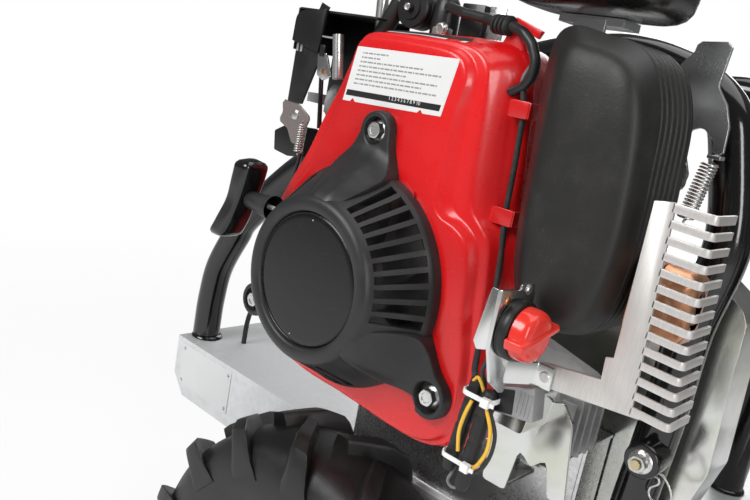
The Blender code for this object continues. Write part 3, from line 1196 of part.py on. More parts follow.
def build_chassis():
    deck()
    engine_plate()
    hoops()
    wheels()
    belt_drive()
    chain_case()
    rear_unit()
    cable_reel()
    handlebar()
    control_cable()


build_engine()
build_chassis()
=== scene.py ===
"""Looks of the cable laying machine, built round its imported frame.

A small engine with its red fan shroud, black recoil starter cover, ribbed silencer cover and steel comb
stands on a two-wheeled galvanised deck with tube hoops, a handlebar, a trench blade, a cable reel and a
press wheel. Metres, +Z up; the machine drives towards -X and its starter side faces -Y.
"""
import json
import math

import bmesh
import bpy
import numpy as np
from bpy.props import FloatProperty, FloatVectorProperty, IntProperty, PointerProperty
from mathutils import Matrix, Vector

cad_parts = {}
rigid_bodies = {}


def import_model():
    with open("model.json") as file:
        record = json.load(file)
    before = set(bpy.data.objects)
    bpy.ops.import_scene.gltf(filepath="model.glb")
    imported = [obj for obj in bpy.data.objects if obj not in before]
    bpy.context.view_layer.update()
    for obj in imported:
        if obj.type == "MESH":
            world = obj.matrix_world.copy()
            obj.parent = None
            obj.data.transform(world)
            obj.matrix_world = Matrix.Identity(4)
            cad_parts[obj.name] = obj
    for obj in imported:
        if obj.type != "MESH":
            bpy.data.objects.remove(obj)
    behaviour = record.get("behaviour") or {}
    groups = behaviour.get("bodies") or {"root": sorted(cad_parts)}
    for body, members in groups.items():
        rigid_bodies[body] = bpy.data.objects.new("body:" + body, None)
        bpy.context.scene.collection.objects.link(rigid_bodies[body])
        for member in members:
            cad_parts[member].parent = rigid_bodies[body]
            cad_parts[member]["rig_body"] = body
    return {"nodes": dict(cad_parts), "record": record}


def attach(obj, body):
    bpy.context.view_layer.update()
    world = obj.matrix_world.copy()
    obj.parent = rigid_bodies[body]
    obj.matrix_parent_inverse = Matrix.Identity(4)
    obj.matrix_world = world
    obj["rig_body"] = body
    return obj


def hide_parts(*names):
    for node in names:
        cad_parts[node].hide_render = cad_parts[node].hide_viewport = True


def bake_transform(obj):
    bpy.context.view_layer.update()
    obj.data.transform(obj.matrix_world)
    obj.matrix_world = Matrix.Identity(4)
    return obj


bl_info = {"name": "Cable laying machine", "version": (1, 0, 0), "blender": (4, 5, 0),
    "location": "View3D > Sidebar > Cable Layer",
    "description": "Finished surfaces and materials of a cable laying machine on its packed frame",
    "category": "Add Mesh"}

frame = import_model()

# Where the two drawing origins lie in the frame: the badge's centre on the crank axis, and the chassis
ENGINE = np.array((-0.3265, -0.3082, 0.559))
CHASSIS = np.array((-0.0435, 0.0268, 0.0))
TAU = 2.0 * math.pi
WELD, CAD_WELD = 1e-6, 2e-5  # points of a drawn surface and of a CAD node that lie closer than this are one
SLOT_OF = {part["node"]: part["material_slot"] for part in frame["record"]["subparts"]}


# Surfaces

def mm(*rows):
    """Rows of millimetres as rows of metres: each number over 1000."""
    return [tuple(value / 1000.0 for value in row) for row in rows]


def grid(points, around=True, first=True, last=True):
    """Quads over an array of points, row by row. around joins the last column to the first; first and last
    then close the end rows with one face each."""
    points = np.asarray(points, float)
    rows, columns = points.shape[:2]
    index = np.arange(rows * columns).reshape(rows, columns)
    if around:
        index = np.hstack([index, index[:, :1]])
    quads = np.stack([index[:-1, :-1], index[:-1, 1:], index[1:, 1:], index[1:, :-1]], -1).reshape(-1, 4)
    caps = []
    if first and around:
        caps.append(index[0, columns - 1::-1].tolist())
    if last and around:
        caps.append(index[-1, :columns].tolist())
    return points.reshape(-1, 3), quads, caps


def without(shape, keep):
    """The same grid with only the quads where keep, an array over the quads, is true."""
    points, quads, caps = shape
    return points, quads[np.asarray(keep).reshape(-1)], caps


def basis(axis):
    """Two unit vectors square to an axis and to each other."""
    axis = np.asarray(axis, float) / np.linalg.norm(axis)
    other = np.array((0.0, 0.0, 1.0)) if abs(axis[2]) < 0.9 else np.array((1.0, 0.0, 0.0))
    side = np.cross(other, axis)
    side /= np.linalg.norm(side)
    return axis, side, np.cross(axis, side)


def turned(profile, centre=(0, 0, 0), axis=(0, 1, 0), steps=48, facets=0, first=True, last=True):
    """A profile of (radius, distance along the axis) turned round the axis: at angle a a point lies at
    centre + distance times axis + radius times (cos a, sin a). With facets the radius follows a polygon, each
    row's third value saying how much of it shows."""
    profile = np.array([tuple(row) + (0.0,) * (3 - len(row)) for row in profile], float)
    axis, side, up = basis(axis)
    angle = np.arange(steps) * TAU / steps
    reach = np.ones(steps)
    if facets:
        wedge = TAU / facets
        reach = math.cos(wedge / 2) / np.cos((angle + 1e-9) % wedge - wedge / 2)
    radius = profile[:, :1] * (1 + profile[:, 2:3] * (reach[None] - 1))
    points = (np.asarray(centre, float) + profile[:, 1, None, None] * axis
        + radius[..., None] * (np.cos(angle)[None, :, None] * side + np.sin(angle)[None, :, None] * up))
    return grid(points, first=first, last=last)


def tube(profile, centre=(0, 0, 0), axis=(0, 1, 0), steps=48):
    """A turned surface whose ends stay open."""
    return turned(profile, centre, axis, steps, first=False, last=False)


def smooth(points, count, closed=False):
    """A smooth curve through the points, as the cubic of each span that passes its ends with the slope of
    their neighbours, read at evenly spaced places along its length."""
    points = np.asarray(points, float)
    total = len(points)
    spans = total if closed else total - 1
    fine = np.linspace(0, spans, 16 * spans, endpoint=not closed)
    index = np.minimum(fine.astype(int), spans - 1)
    t = (fine - index)[:, None]
    a, b, c, d = (points[(index + s) % total if closed else np.clip(index + s, 0, total - 1)]
        for s in (-1, 0, 1, 2))
    curve = 0.5 * (2 * b + (c - a) * t + (2 * a - 5 * b + 4 * c - d) * t ** 2
        + (3 * b - a - 3 * c + d) * t ** 3)
    if closed:
        curve = np.vstack([curve, curve[:1]])
    length = np.concatenate([[0], np.cumsum(np.linalg.norm(np.diff(curve, axis=0), axis=1))])
    places = np.linspace(0, length[-1], count, endpoint=not closed)
    return np.stack([np.interp(places, length, curve[:, k]) for k in range(curve.shape[1])], -1)


def filleted(corners, radius, steps=6, closed=True):
    """Straight sides whose corners become arcs, each the quadratic curve between the points where a circle
    of the radius would touch; a corner's own radius may follow its coordinates in a closed flat outline."""
    flat = closed and len(corners[0]) == 3
    radii = np.array([c[2] for c in corners], float) if flat else np.full(len(corners), float(radius))
    here = np.array([c[:2] for c in corners] if flat else corners, float)
    before, after = np.roll(here, 1, 0) - here, np.roll(here, -1, 0) - here
    long_b, long_a = np.linalg.norm(before, axis=1), np.linalg.norm(after, axis=1)
    before, after = before / long_b[:, None], after / long_a[:, None]
    half = np.arccos(np.clip((before * after).sum(1), -1, 1)) / 2
    reach = np.minimum(radii / np.maximum(np.tan(half), 1e-6),
        0.49 * np.minimum(long_b, long_a))[:, None, None]
    t = np.linspace(0, 1, steps + 1)[None, :, None]
    corner = here[:, None]
    start, end = corner + before[:, None] * reach, corner + after[:, None] * reach
    arcs = (1 - t) ** 2 * start + 2 * t * (1 - t) * corner + t ** 2 * end
    if closed:
        return arcs.reshape(-1, here.shape[1])
    return np.vstack([here[:1], arcs[1:-1].reshape(-1, here.shape[1]), here[-1:]])


def inset(outline, distance):
    """A closed flat outline moved inwards: each point goes along the mean of its two sides' normals."""
    step = np.roll(outline, -1, 0) - np.roll(outline, 1, 0)
    normal = np.stack([-step[:, 1], step[:, 0]], -1)
    normal /= np.maximum(np.linalg.norm(normal, axis=1), 1e-9)[:, None]
    area = (outline[:, 0] * np.roll(outline[:, 1], -1) - np.roll(outline[:, 0], -1) * outline[:, 1]).sum()
    return outline + normal * distance * (1 if area > 0 else -1)


def oblong(x, y, half_x, half_y):
    """The four corners of a rectangle round a middle."""
    return [(x - half_x, y - half_y), (x + half_x, y - half_y), (x + half_x, y + half_y),
        (x - half_x, y + half_y)]


def slab(outline, low, high, axis="y", edge=0.0006, steps=3):
    """A flat outline carried from low to high along an axis, with its two rims rounded: at part p of the
    rim's quarter turn the outline is drawn in by edge times (1 - sin p) and lies edge times (1 - cos p)
    deep."""
    outline = np.asarray(outline, float)
    turn = np.linspace(0, math.pi / 2, steps)
    draw, deep = edge * (1 - np.sin(turn)), edge * (1 - np.cos(turn))
    rows = [(inset(outline, d), low + z) for d, z in zip(draw, deep)]
    rows += [(inset(outline, d), high - z) for d, z in zip(draw[::-1], deep[::-1])]
    place = {"x": lambda o, h: np.stack([np.full(len(o), h), o[:, 0], o[:, 1]], -1),
        "y": lambda o, h: np.stack([o[:, 0], np.full(len(o), h), o[:, 1]], -1),
        "z": lambda o, h: np.stack([o[:, 0], o[:, 1], np.full(len(o), h)], -1)}[axis]
    return grid(np.stack([place(o, h) for o, h in rows]))


def block(low, high, edge=0.0006):
    """A box between two corners with rounded edges."""
    low, high = np.array(low, float), np.array(high, float)
    corners = [(low[0], low[1]), (high[0], low[1]), (high[0], high[1]), (low[0], high[1])]
    return slab(filleted(corners, edge, 2), low[2], high[2], "z", edge)


def swept(path, radius, steps=12, lift=None):
    """A round section carried along a path: at angle a a point lies at the path's point + radius times (cos
    a, sin a). The section's frame starts square to the path and is turned with it by the least turn at each
    step; radius may be one value for each point of the path."""
    path = np.asarray(path, float)
    count = len(path)
    along = np.gradient(path, axis=0)
    along /= np.linalg.norm(along, axis=1)[:, None]
    start = np.cross(along[0], (0.31, 0.17, 0.93) if lift is None else lift)
    side = np.empty_like(path)
    side[0] = start / np.linalg.norm(start)
    for k in range(1, count):
        move = side[k - 1] - along[k] * side[k - 1].dot(along[k])
        side[k] = move / np.linalg.norm(move)
    up = np.cross(along, side)
    angle = np.arange(steps) * TAU / steps
    radius = np.broadcast_to(np.asarray(radius, float), (count,))[:, None, None]
    return grid(path[:, None]
        + radius * (np.cos(angle)[:, None] * side[:, None] + np.sin(angle)[:, None] * up[:, None]))


def helix(start, end, radius, turns, lead=0.003, steps=16):
    """The centre line of a coil spring: at angle a it lies radius from the line between its ends, which it
    climbs evenly; a quarter of a turn at each end closes onto the line and runs along it for one lead."""
    start, end = np.array(start, float), np.array(end, float)
    axis, side, up = basis(end - start)
    angle = np.linspace(0, TAU * turns, int(steps * turns) + 1)
    run = np.linalg.norm(end - start) - 2 * lead
    middle = start + axis * (lead + run * angle / angle[-1])[:, None]
    body = middle + radius * (np.cos(angle)[:, None] * side + np.sin(angle)[:, None] * up)
    return np.vstack([start, start + axis * 0.6 * lead, body, end - axis * 0.6 * lead, end])


def ribbon(path, across, width, thick, edge=0.0002):
    """A flat strap carried along a path: its section is a rectangle, wide along the vector across."""
    path = np.asarray(path, float)
    along = np.gradient(path, axis=0)
    along /= np.linalg.norm(along, axis=1)[:, None]
    across = np.broadcast_to(np.asarray(across, float), path.shape)
    across = across - along * (across * along).sum(1)[:, None]
    across /= np.linalg.norm(across, axis=1)[:, None]
    out = np.cross(along, across)
    section = filleted(oblong(0.0, 0.0, width / 2, thick / 2), edge, 2)
    return grid(path[:, None] + section[None, :, :1] * across[:, None] + section[None, :, 1:] * out[:, None])


def hex_bolt(seat, axis, across, head, flange=0.0, washer=0.0):
    """A hexagon head with its chamfer and dished top, on a flange or washer where asked: rings turned round
    its axis, the hexagon fading to a circle at the chamfer and the flange. The seat is where it touches the
    part."""
    radius = across / 2 / math.cos(math.pi / 6)
    low = max(flange and 0.0016, washer and 0.0012)
    rows = []
    if washer:
        rows = [(washer * 0.97, 0, 0), (washer, 0.0003, 0), (washer, 0.001, 0), (washer * 0.96, 0.0012, 0)]
    if flange:
        rows = [(flange, 0, 0), (flange, 0.0008, 0), (flange * 0.93, 0.0013, 0), (radius * 1.02, 0.0022, 0.2)]
    rows += [(radius, low + 0.0009, 1), (radius, head - 0.001, 1), (radius * 0.93, head - 0.0002, 0.45),
        (radius * 0.78, head, 0), (radius * 0.6, head - 0.0001, 0), (radius * 0.52, head - 0.0009, 0)]
    return turned(rows, seat, axis, 48, 6)


class Piece:
    """One named object that is put together from surfaces, each with its own finish."""

    def __init__(self, name, body, at=ENGINE):
        self.name, self.body, self.at = name, body, np.asarray(at, float)
        self.points, self.faces, self.slots, self.finishes, self.total = [], [], [], [], 0

    def add(self, shape, look):
        """Add a surface with the finish of that name."""
        points, quads, caps = shape
        material = finish(look)
        if material not in self.finishes:
            self.finishes.append(material)
        slot = self.finishes.index(material)
        faces = (quads + self.total).tolist() + [[k + self.total for k in cap] for cap in caps]
        self.points.append(points)
        self.faces += faces
        self.slots += [slot] * len(faces)
        self.total += len(points)

    def make(self, slot, replaces, angle, wall=0.0, bevel=0.0):
        """Put the piece in the scene: merged, facing out, with a wall and a bevel where asked."""
        mesh = bpy.data.meshes.new(self.name)
        mesh.from_pydata((np.vstack(self.points) + self.at).tolist(), [], self.faces)
        mesh.polygons.foreach_set("material_index", self.slots)
        return placed(self.name, mesh, self.finishes, self.body, slot, replaces, angle, wall, bevel)


def placed(name, mesh, finishes, body, slot, replaces, angle, wall=0.0, bevel=0.0, segments=2):
    """An object of a mesh: merged, facing out, shaded smooth below an angle, riding on its body."""
    work = bmesh.new()
    work.from_mesh(mesh)
    bmesh.ops.remove_doubles(work, verts=work.verts, dist=WELD)
    bmesh.ops.recalc_face_normals(work, faces=work.faces)
    work.to_mesh(mesh)
    work.free()
    for material in finishes:
        mesh.materials.append(material)
    mesh.shade_smooth()
    mesh.set_sharp_from_angle(angle=math.radians(angle))
    made = bpy.data.objects.new(name, mesh)
    bpy.context.scene.collection.objects.link(made)
    if wall:
        solid = made.modifiers.new("wall", "SOLIDIFY")
        solid.thickness, solid.offset = wall, -1.0
    if bevel:
        rounded = made.modifiers.new("rounded edges", "BEVEL")
        rounded.width, rounded.segments, rounded.limit_method = bevel, segments, "ANGLE"
        rounded.angle_limit, rounded.harden_normals = math.radians(32.0), True
    if body:
        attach(made, body)
    if replaces:
        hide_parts(*replaces)
    return made


def refined(node, look, width, angle, segments=2):
    """A merged copy of a CAD node with its flat faces joined and its edges rounded, in place of the node."""
    source = frame["nodes"][node]
    mesh = source.data.copy()
    mesh.materials.clear()
    work = bmesh.new()
    work.from_mesh(mesh)
    bmesh.ops.remove_doubles(work, verts=work.verts, dist=CAD_WELD)
    bmesh.ops.dissolve_limit(work, angle_limit=math.radians(1.0), verts=work.verts, edges=work.edges)
    work.to_mesh(mesh)
    work.free()
    return placed(node + "_finished", mesh, [finish(look)], source["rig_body"], SLOT_OF[node], (node,), angle,
        bevel=width, segments=segments)


def finished(*rows):
    """Edge-rounded, finished copies of CAD nodes: each row is a node, its finish, its edge and its smooth
    angle."""
    for row in rows:
        refined(*row)


# Materials

class Tone:
    """A socket of a node, so that maths on it is written as an expression."""

    def __init__(self, nodes, socket):
        self.nodes, self.socket = nodes, socket

    def _maths(self, operation, first, second=0.0):
        return self.nodes.node("ShaderNodeMath", {"operation": operation}, {0: first, 1: second})

    def __add__(self, other):
        return self._maths("ADD", self, other)

    def __radd__(self, other):
        return self._maths("ADD", other, self)

    def __sub__(self, other):
        return self._maths("SUBTRACT", self, other)

    def __rsub__(self, other):
        return self._maths("SUBTRACT", other, self)

    def __mul__(self, other):
        return self._maths("MULTIPLY", self, other)

    def __rmul__(self, other):
        return self._maths("MULTIPLY", other, self)

    def __truediv__(self, other):
        return self._maths("DIVIDE", self, other)

    def __rtruediv__(self, other):
        return self._maths("DIVIDE", other, self)

    def __pow__(self, other):
        return self._maths("POWER", self, other)

    def sine(self):
        return self._maths("SINE", self)

    def step(self, low, high):
        """A smooth step from 0 at low to 1 at high."""
        return self.nodes.node("ShaderNodeMapRange", {"interpolation_type": "SMOOTHSTEP"},
            {"Value": self, "From Min": low, "From Max": high})


class Nodes:
    """A tree of shader nodes under construction: one method adds any node."""

    def __init__(self, owner):
        owner.use_nodes = True
        self.tree = owner.node_tree

    def node(self, kind, settings=None, sockets=None, out=0):
        """Add a node with its settings, its sockets set or linked, and give the output asked for."""
        made = self.tree.nodes.new(kind)
        for key, value in (settings or {}).items():
            setattr(made, key, value)
        self.feed(made, sockets or {})
        return Tone(self, made.outputs[out])

    def feed(self, node, sockets):
        """Set or link the sockets of a node."""
        for key, value in sockets.items():
            if isinstance(value, Tone):
                self.tree.links.new(value.socket, node.inputs[key])
            else:
                node.inputs[key].default_value = value

    def outputs(self, kind, *names):
        """Add a node and give its outputs of those names."""
        made = self.node(kind).socket.node
        return [Tone(self, made.outputs[name]) for name in names]


class Paint(Nodes):
    """A material under construction, with the patterns that its looks are made from."""

    def __init__(self, name):
        self.material = bpy.data.materials.new(name)
        super().__init__(self.material)
        self.shader = self.tree.nodes["Principled BSDF"]
        self.place = self.node("ShaderNodeTexCoord", out="Object")

    def split(self):
        """The object coordinates as three numbers."""
        made = self.node("ShaderNodeSeparateXYZ", None, {0: self.place}).socket.node
        return [Tone(self, output) for output in made.outputs]

    def noise(self, scale, detail=3.0, rough=0.55, stretch=None, distortion=0.0):
        """Fractal noise of the object coordinates, stretched along the axes where asked."""
        where = self.place
        if stretch:
            where = self.node("ShaderNodeMapping", None, {"Vector": self.place, "Scale": stretch})
        return self.node("ShaderNodeTexNoise", None,
            {"Vector": where, "Scale": scale, "Detail": detail, "Roughness": rough, "Distortion": distortion},
            "Fac")

    def cells(self, scale, feature="F1", out="Distance"):
        """A pattern of cells: each point's distance to its cell's middle, or the cell's own colour."""
        return self.node("ShaderNodeTexVoronoi", {"feature": feature}, {"Vector": self.place, "Scale": scale},
            out)

    def blend(self, factor, first, second):
        """Two colours mixed by a factor; each is a tone or three numbers."""
        pair = {key: (value if isinstance(value, Tone) else (*value, 1.0))
            for key, value in ((6, first), (7, second))}
        return self.node("ShaderNodeMix", {"data_type": "RGBA", "clamp_factor": True}, {0: factor, **pair}, 2)

    def bump(self, height, distance):
        """A normal that follows a height, given as a share of a distance in metres."""
        return self.node("ShaderNodeBump", None, {"Height": height, "Distance": distance, "Strength": 1.0},
            "Normal")

    def done(self, **sockets):
        """Set or link the shader's own sockets; the names have underscores for spaces."""
        for key, value in sockets.items():
            socket = self.shader.inputs[key.replace("_", " ")]
            if isinstance(value, Tone):
                self.tree.links.new(value.socket, socket)
            elif socket.type == "RGBA":
                socket.default_value = (*value, 1.0)
            else:
                socket.default_value = value
        return self.material


def shaded(colour, part):
    """A colour times a number."""
    return tuple(part * c for c in colour)


def glossy_paint(name, colour, shade, rough=0.27, coat=0.25, peel=0.00003, dust=0.1):
    """Sprayed or moulded gloss: a slight orange peel, a slow change of shade, and dust where it settles."""
    paint = Paint(name)
    slow, fine = paint.noise(9.0, 2.0), paint.noise(420.0, 2.0)
    specks = paint.noise(1500.0, 2.0).step(0.66, 0.74)
    patches = paint.noise(26.0, 4.0, 0.6).step(0.46, 0.74)
    tone = paint.blend(slow.step(0.35, 0.68), colour, shade)
    tone = paint.blend(specks * patches * dust, tone, (0.45, 0.42, 0.38))
    return paint.done(Base_Color=tone, Roughness=rough + patches * 0.1 + specks * 0.06, Coat_Weight=coat,
        Coat_Roughness=0.06, Normal=paint.bump(fine + slow * 0.6, peel))


def grained_plastic(name, colour, rough, grain, deep=0.00005, dust=0.35):
    """Moulded black plastic with a fine leather grain, rubbed a little paler in patches, with pale specks."""
    paint = Paint(name)
    leather = paint.cells(grain * 0.55, "SMOOTH_F1")
    fine = paint.noise(grain, 2.0, 0.6)
    rubbed = paint.noise(34.0, 5.0, 0.62).step(0.45, 0.75)
    specks = paint.noise(1300.0, 2.0, 0.5).step(0.64, 0.72)
    pale = tuple(1.7 * c + 0.006 for c in colour)
    tone = paint.blend(rubbed * 0.6, colour, pale)
    tone = paint.blend(specks * dust * (0.25 + rubbed * 0.75), tone, (0.16, 0.155, 0.15))
    return paint.done(Base_Color=tone, Roughness=rough + rubbed * 0.1 - fine * 0.08,
        Normal=paint.bump(leather * 0.6 + fine * 0.5, deep), Specular_IOR_Level=0.42)


def smooth_black(name, colour, rough, coat, peel=0.00004):
    """Powder-coated or polished black: soft orange peel, faint scuffs that lift the roughness."""
    paint = Paint(name)
    skin = paint.noise(360.0, 2.0)
    scuffs = paint.noise(60.0, 6.0, 0.7, (1.0, 1.0, 6.0)).step(0.55, 0.78)
    specks = paint.noise(1700.0, 2.0).step(0.68, 0.75)
    tone = paint.blend(scuffs * 0.3 + specks * 0.2, colour, (0.03, 0.03, 0.03))
    return paint.done(Base_Color=tone, Roughness=rough + scuffs * 0.16, Coat_Weight=coat, Coat_Roughness=0.05,
        Normal=paint.bump(skin, peel))


def soft_rubber(name, colour=(0.009, 0.009, 0.009), rough=0.5, dust=0.25):
    """Black rubber with a fine matt skin and a grey bloom."""
    paint = Paint(name)
    bloom = paint.noise(40.0, 5.0, 0.65).step(0.42, 0.78)
    fine = paint.noise(2100.0, 3.0, 0.6)
    tone = paint.blend(bloom * dust, colour, (0.045, 0.044, 0.042))
    return paint.done(Base_Color=tone, Roughness=rough + bloom * 0.14, Normal=paint.bump(fine, 0.00003))


def tyre_rubber(name):
    """Tyre rubber: a satin moulded skin with fine flow lines, dull dust on the faces and in the roots."""
    paint = Paint(name)
    bloom = paint.noise(15.0, 6.0, 0.66).step(0.4, 0.75)
    fine = paint.noise(900.0, 4.0, 0.62)
    flow = paint.noise(120.0, 3.0, 0.6, (1.0, 5.0, 1.0))
    specks = paint.noise(700.0, 3.0, 0.55).step(0.6, 0.7)
    tone = paint.blend(bloom, (0.006, 0.0058, 0.0056), (0.02, 0.019, 0.018))
    tone = paint.blend(specks * bloom * 0.35, tone, (0.08, 0.075, 0.07))
    return paint.done(Base_Color=tone, Roughness=0.4 + bloom * 0.22 + fine * 0.06,
        Normal=paint.bump(fine * 0.5 + flow * 0.8, 0.00016))


def galvanised(name, colour, dark, rough, metal, spangle):
    """Zinc-coated sheet: spangles of slightly different grey, a fine frost, rubbed streaks and water
    marks."""
    paint = Paint(name)
    crystals = paint.node("ShaderNodeSeparateColor", None, {0: paint.cells(spangle, "F1", "Color")})
    frost = paint.noise(600.0, 4.0, 0.6)
    cloud = paint.noise(11.0, 5.0, 0.6).step(0.35, 0.7)
    streaks = paint.noise(38.0, 5.0, 0.7, (1.0, 9.0, 1.0)).step(0.58, 0.8)
    tone = paint.blend(crystals * 0.45 + cloud * 0.45, colour, dark)
    tone = paint.blend(streaks * 0.22, tone, (0.8, 0.8, 0.79))
    return paint.done(Base_Color=tone, Metallic=metal, Roughness=rough + crystals * 0.1 + cloud * 0.08,
        Normal=paint.bump(frost * 0.6 + crystals * 0.4, 0.00003))


def passivated(name, grey=(0.66, 0.67, 0.65), tint=(0.52, 0.54, 0.4), other=(0.52, 0.45, 0.5), amount=0.5):
    """Zinc plating with its passivated film: bright grey that turns yellow-green and faintly violet in
    clouds."""
    paint = Paint(name)
    cloud, second = paint.noise(24.0, 4.0, 0.6, distortion=0.8), paint.noise(37.0, 3.0, 0.6, distortion=0.5)
    fine = paint.noise(500.0, 4.0, 0.65)
    tone = paint.blend(cloud.step(0.4, 0.66) * amount, grey, tint)
    tone = paint.blend(second.step(0.52, 0.74) * amount * 0.6, tone, other)
    tone = paint.blend(fine.step(0.6, 0.8) * 0.3, tone, (0.3, 0.3, 0.29))
    return paint.done(Base_Color=tone, Metallic=1.0, Roughness=0.1 + cloud * 0.16,
        Normal=paint.bump(fine * 0.4 + cloud * 0.6, 0.00006))


def plated(name, colour=(0.7, 0.7, 0.69), rough=0.2, marks=0.5):
    """Bright zinc or nickel plating on fasteners, a little dulled and marked by the spanner."""
    paint = Paint(name)
    cloud, fine = paint.noise(120.0, 4.0, 0.6), paint.noise(1400.0, 4.0, 0.7)
    tone = paint.blend(cloud.step(0.42, 0.72) * marks, colour, (0.36, 0.35, 0.33))
    tone = paint.blend(fine.step(0.62, 0.78) * 0.35, tone, (0.2, 0.19, 0.17))
    return paint.done(Base_Color=tone, Metallic=0.95, Roughness=rough + cloud * 0.18,
        Normal=paint.bump(fine + cloud, 0.00003))


def brushed(name, colour=(0.7, 0.675, 0.65), along=(1.0, 1.0, 30.0), rough=0.36, metal=0.75):
    """Brushed or rolled steel: fine lines along one way, soft smudges across them."""
    paint = Paint(name)
    lines = paint.noise(90.0, 5.0, 0.7, tuple(30.0 / a for a in along))
    smudge = paint.noise(28.0, 4.0, 0.6).step(0.42, 0.74)
    tone = paint.blend(lines.step(0.35, 0.7) * 0.5 + smudge * 0.3, colour, shaded(colour, 0.72))
    return paint.done(Base_Color=tone, Metallic=metal, Roughness=rough + lines * 0.1 + smudge * 0.1,
        Normal=paint.bump(lines, 0.00002))


def cast_metal(name, colour=(0.42, 0.42, 0.42), rough=0.48, metal=0.8, grain=420.0, dirt=0.5):
    """Die-cast aluminium: a sandy skin, grey stains in patches and dark dirt in the grain."""
    paint = Paint(name)
    sand, stain = paint.noise(grain, 5.0, 0.7), paint.noise(32.0, 5.0, 0.62)
    tone = paint.blend(stain.step(0.42, 0.72) * dirt, colour, shaded(colour, 0.42))
    tone = paint.blend(sand.step(0.58, 0.75) * 0.5 * dirt, tone, (0.08, 0.075, 0.07))
    return paint.done(Base_Color=tone, Metallic=metal, Roughness=rough + stain * 0.16,
        Normal=paint.bump(sand, 0.00022))


def heat_tinted(name):
    """Copper-coloured silencer steel: straw and copper clouds with brown soot round the seams."""
    paint = Paint(name)
    cloud, second = paint.noise(42.0, 3.0, 0.55, distortion=0.6), paint.noise(90.0, 4.0, 0.6)
    fine = paint.noise(700.0, 4.0, 0.65)
    tone = paint.blend(cloud.step(0.38, 0.64), (0.72, 0.36, 0.2), (0.42, 0.18, 0.1))
    tone = paint.blend(second.step(0.55, 0.75) * 0.7, tone, (0.85, 0.62, 0.42))
    tone = paint.blend(fine.step(0.6, 0.76) * 0.4, tone, (0.1, 0.06, 0.05))
    return paint.done(Base_Color=tone, Metallic=0.95, Roughness=0.24 + second * 0.2,
        Normal=paint.bump(fine * 0.3 + second, 0.0001))


def plain_plastic(name, colour, rough, wear, through=0.0):
    """Plain coloured plastic or insulation: faint mottling, handling marks and a waxy skin."""
    paint = Paint(name)
    slow, fine = paint.noise(70.0, 3.0), paint.noise(1600.0, 3.0, 0.6)
    tone = paint.blend(slow.step(0.45, 0.75) * wear, colour, shaded(colour, 0.62))
    return paint.done(Base_Color=tone, Roughness=rough + slow * 0.12, Normal=paint.bump(fine, 0.00002),
        Subsurface_Weight=through, Subsurface_Scale=0.002)


def woven_sleeve(name):
    """Braided sleeve: pale threads over black, as two families of fine slanting lines along the wire."""
    paint = Paint(name)
    x, y, z = paint.split()
    one, two = x * 5200.0 + y * 2600.0 + z * 3400.0, x * 5200.0 + y * 2600.0 - z * 3400.0
    threads = (one.sine() * two.sine()).step(0.0, 0.7)
    worn = paint.noise(160.0, 3.0).step(0.35, 0.7)
    tone = paint.blend(threads * (0.35 + worn * 0.5), (0.012, 0.012, 0.012), (0.17, 0.17, 0.165))
    return paint.done(Base_Color=tone, Roughness=0.62, Normal=paint.bump(threads, 0.00018))


def label_film(name, colour, rough=0.3):
    """Printed film: even colour with the slightest mottle, a soft gloss and small blisters."""
    paint = Paint(name)
    slow, fine = paint.noise(30.0, 3.0), paint.noise(700.0, 3.0)
    tone = paint.blend(slow.step(0.4, 0.8) * 0.25, colour, shaded(colour, 0.9))
    return paint.done(Base_Color=tone, Roughness=rough + slow * 0.1, Normal=paint.bump(fine, 0.000012))


def machined(name):
    """Turned or ground steel with fine circular marks read from noise, and an oily film."""
    paint = Paint(name)
    marks, film = paint.noise(1100.0, 3.0, 0.6, (1.0, 6.0, 1.0)), paint.noise(50.0, 4.0).step(0.4, 0.7)
    colour = (0.62, 0.62, 0.61)
    tone = paint.blend(film * 0.4, colour, shaded(colour, 0.6))
    return paint.done(Base_Color=tone, Metallic=1.0, Roughness=0.24 + film * 0.12,
        Normal=paint.bump(marks, 0.00003))


FINISHES = {}


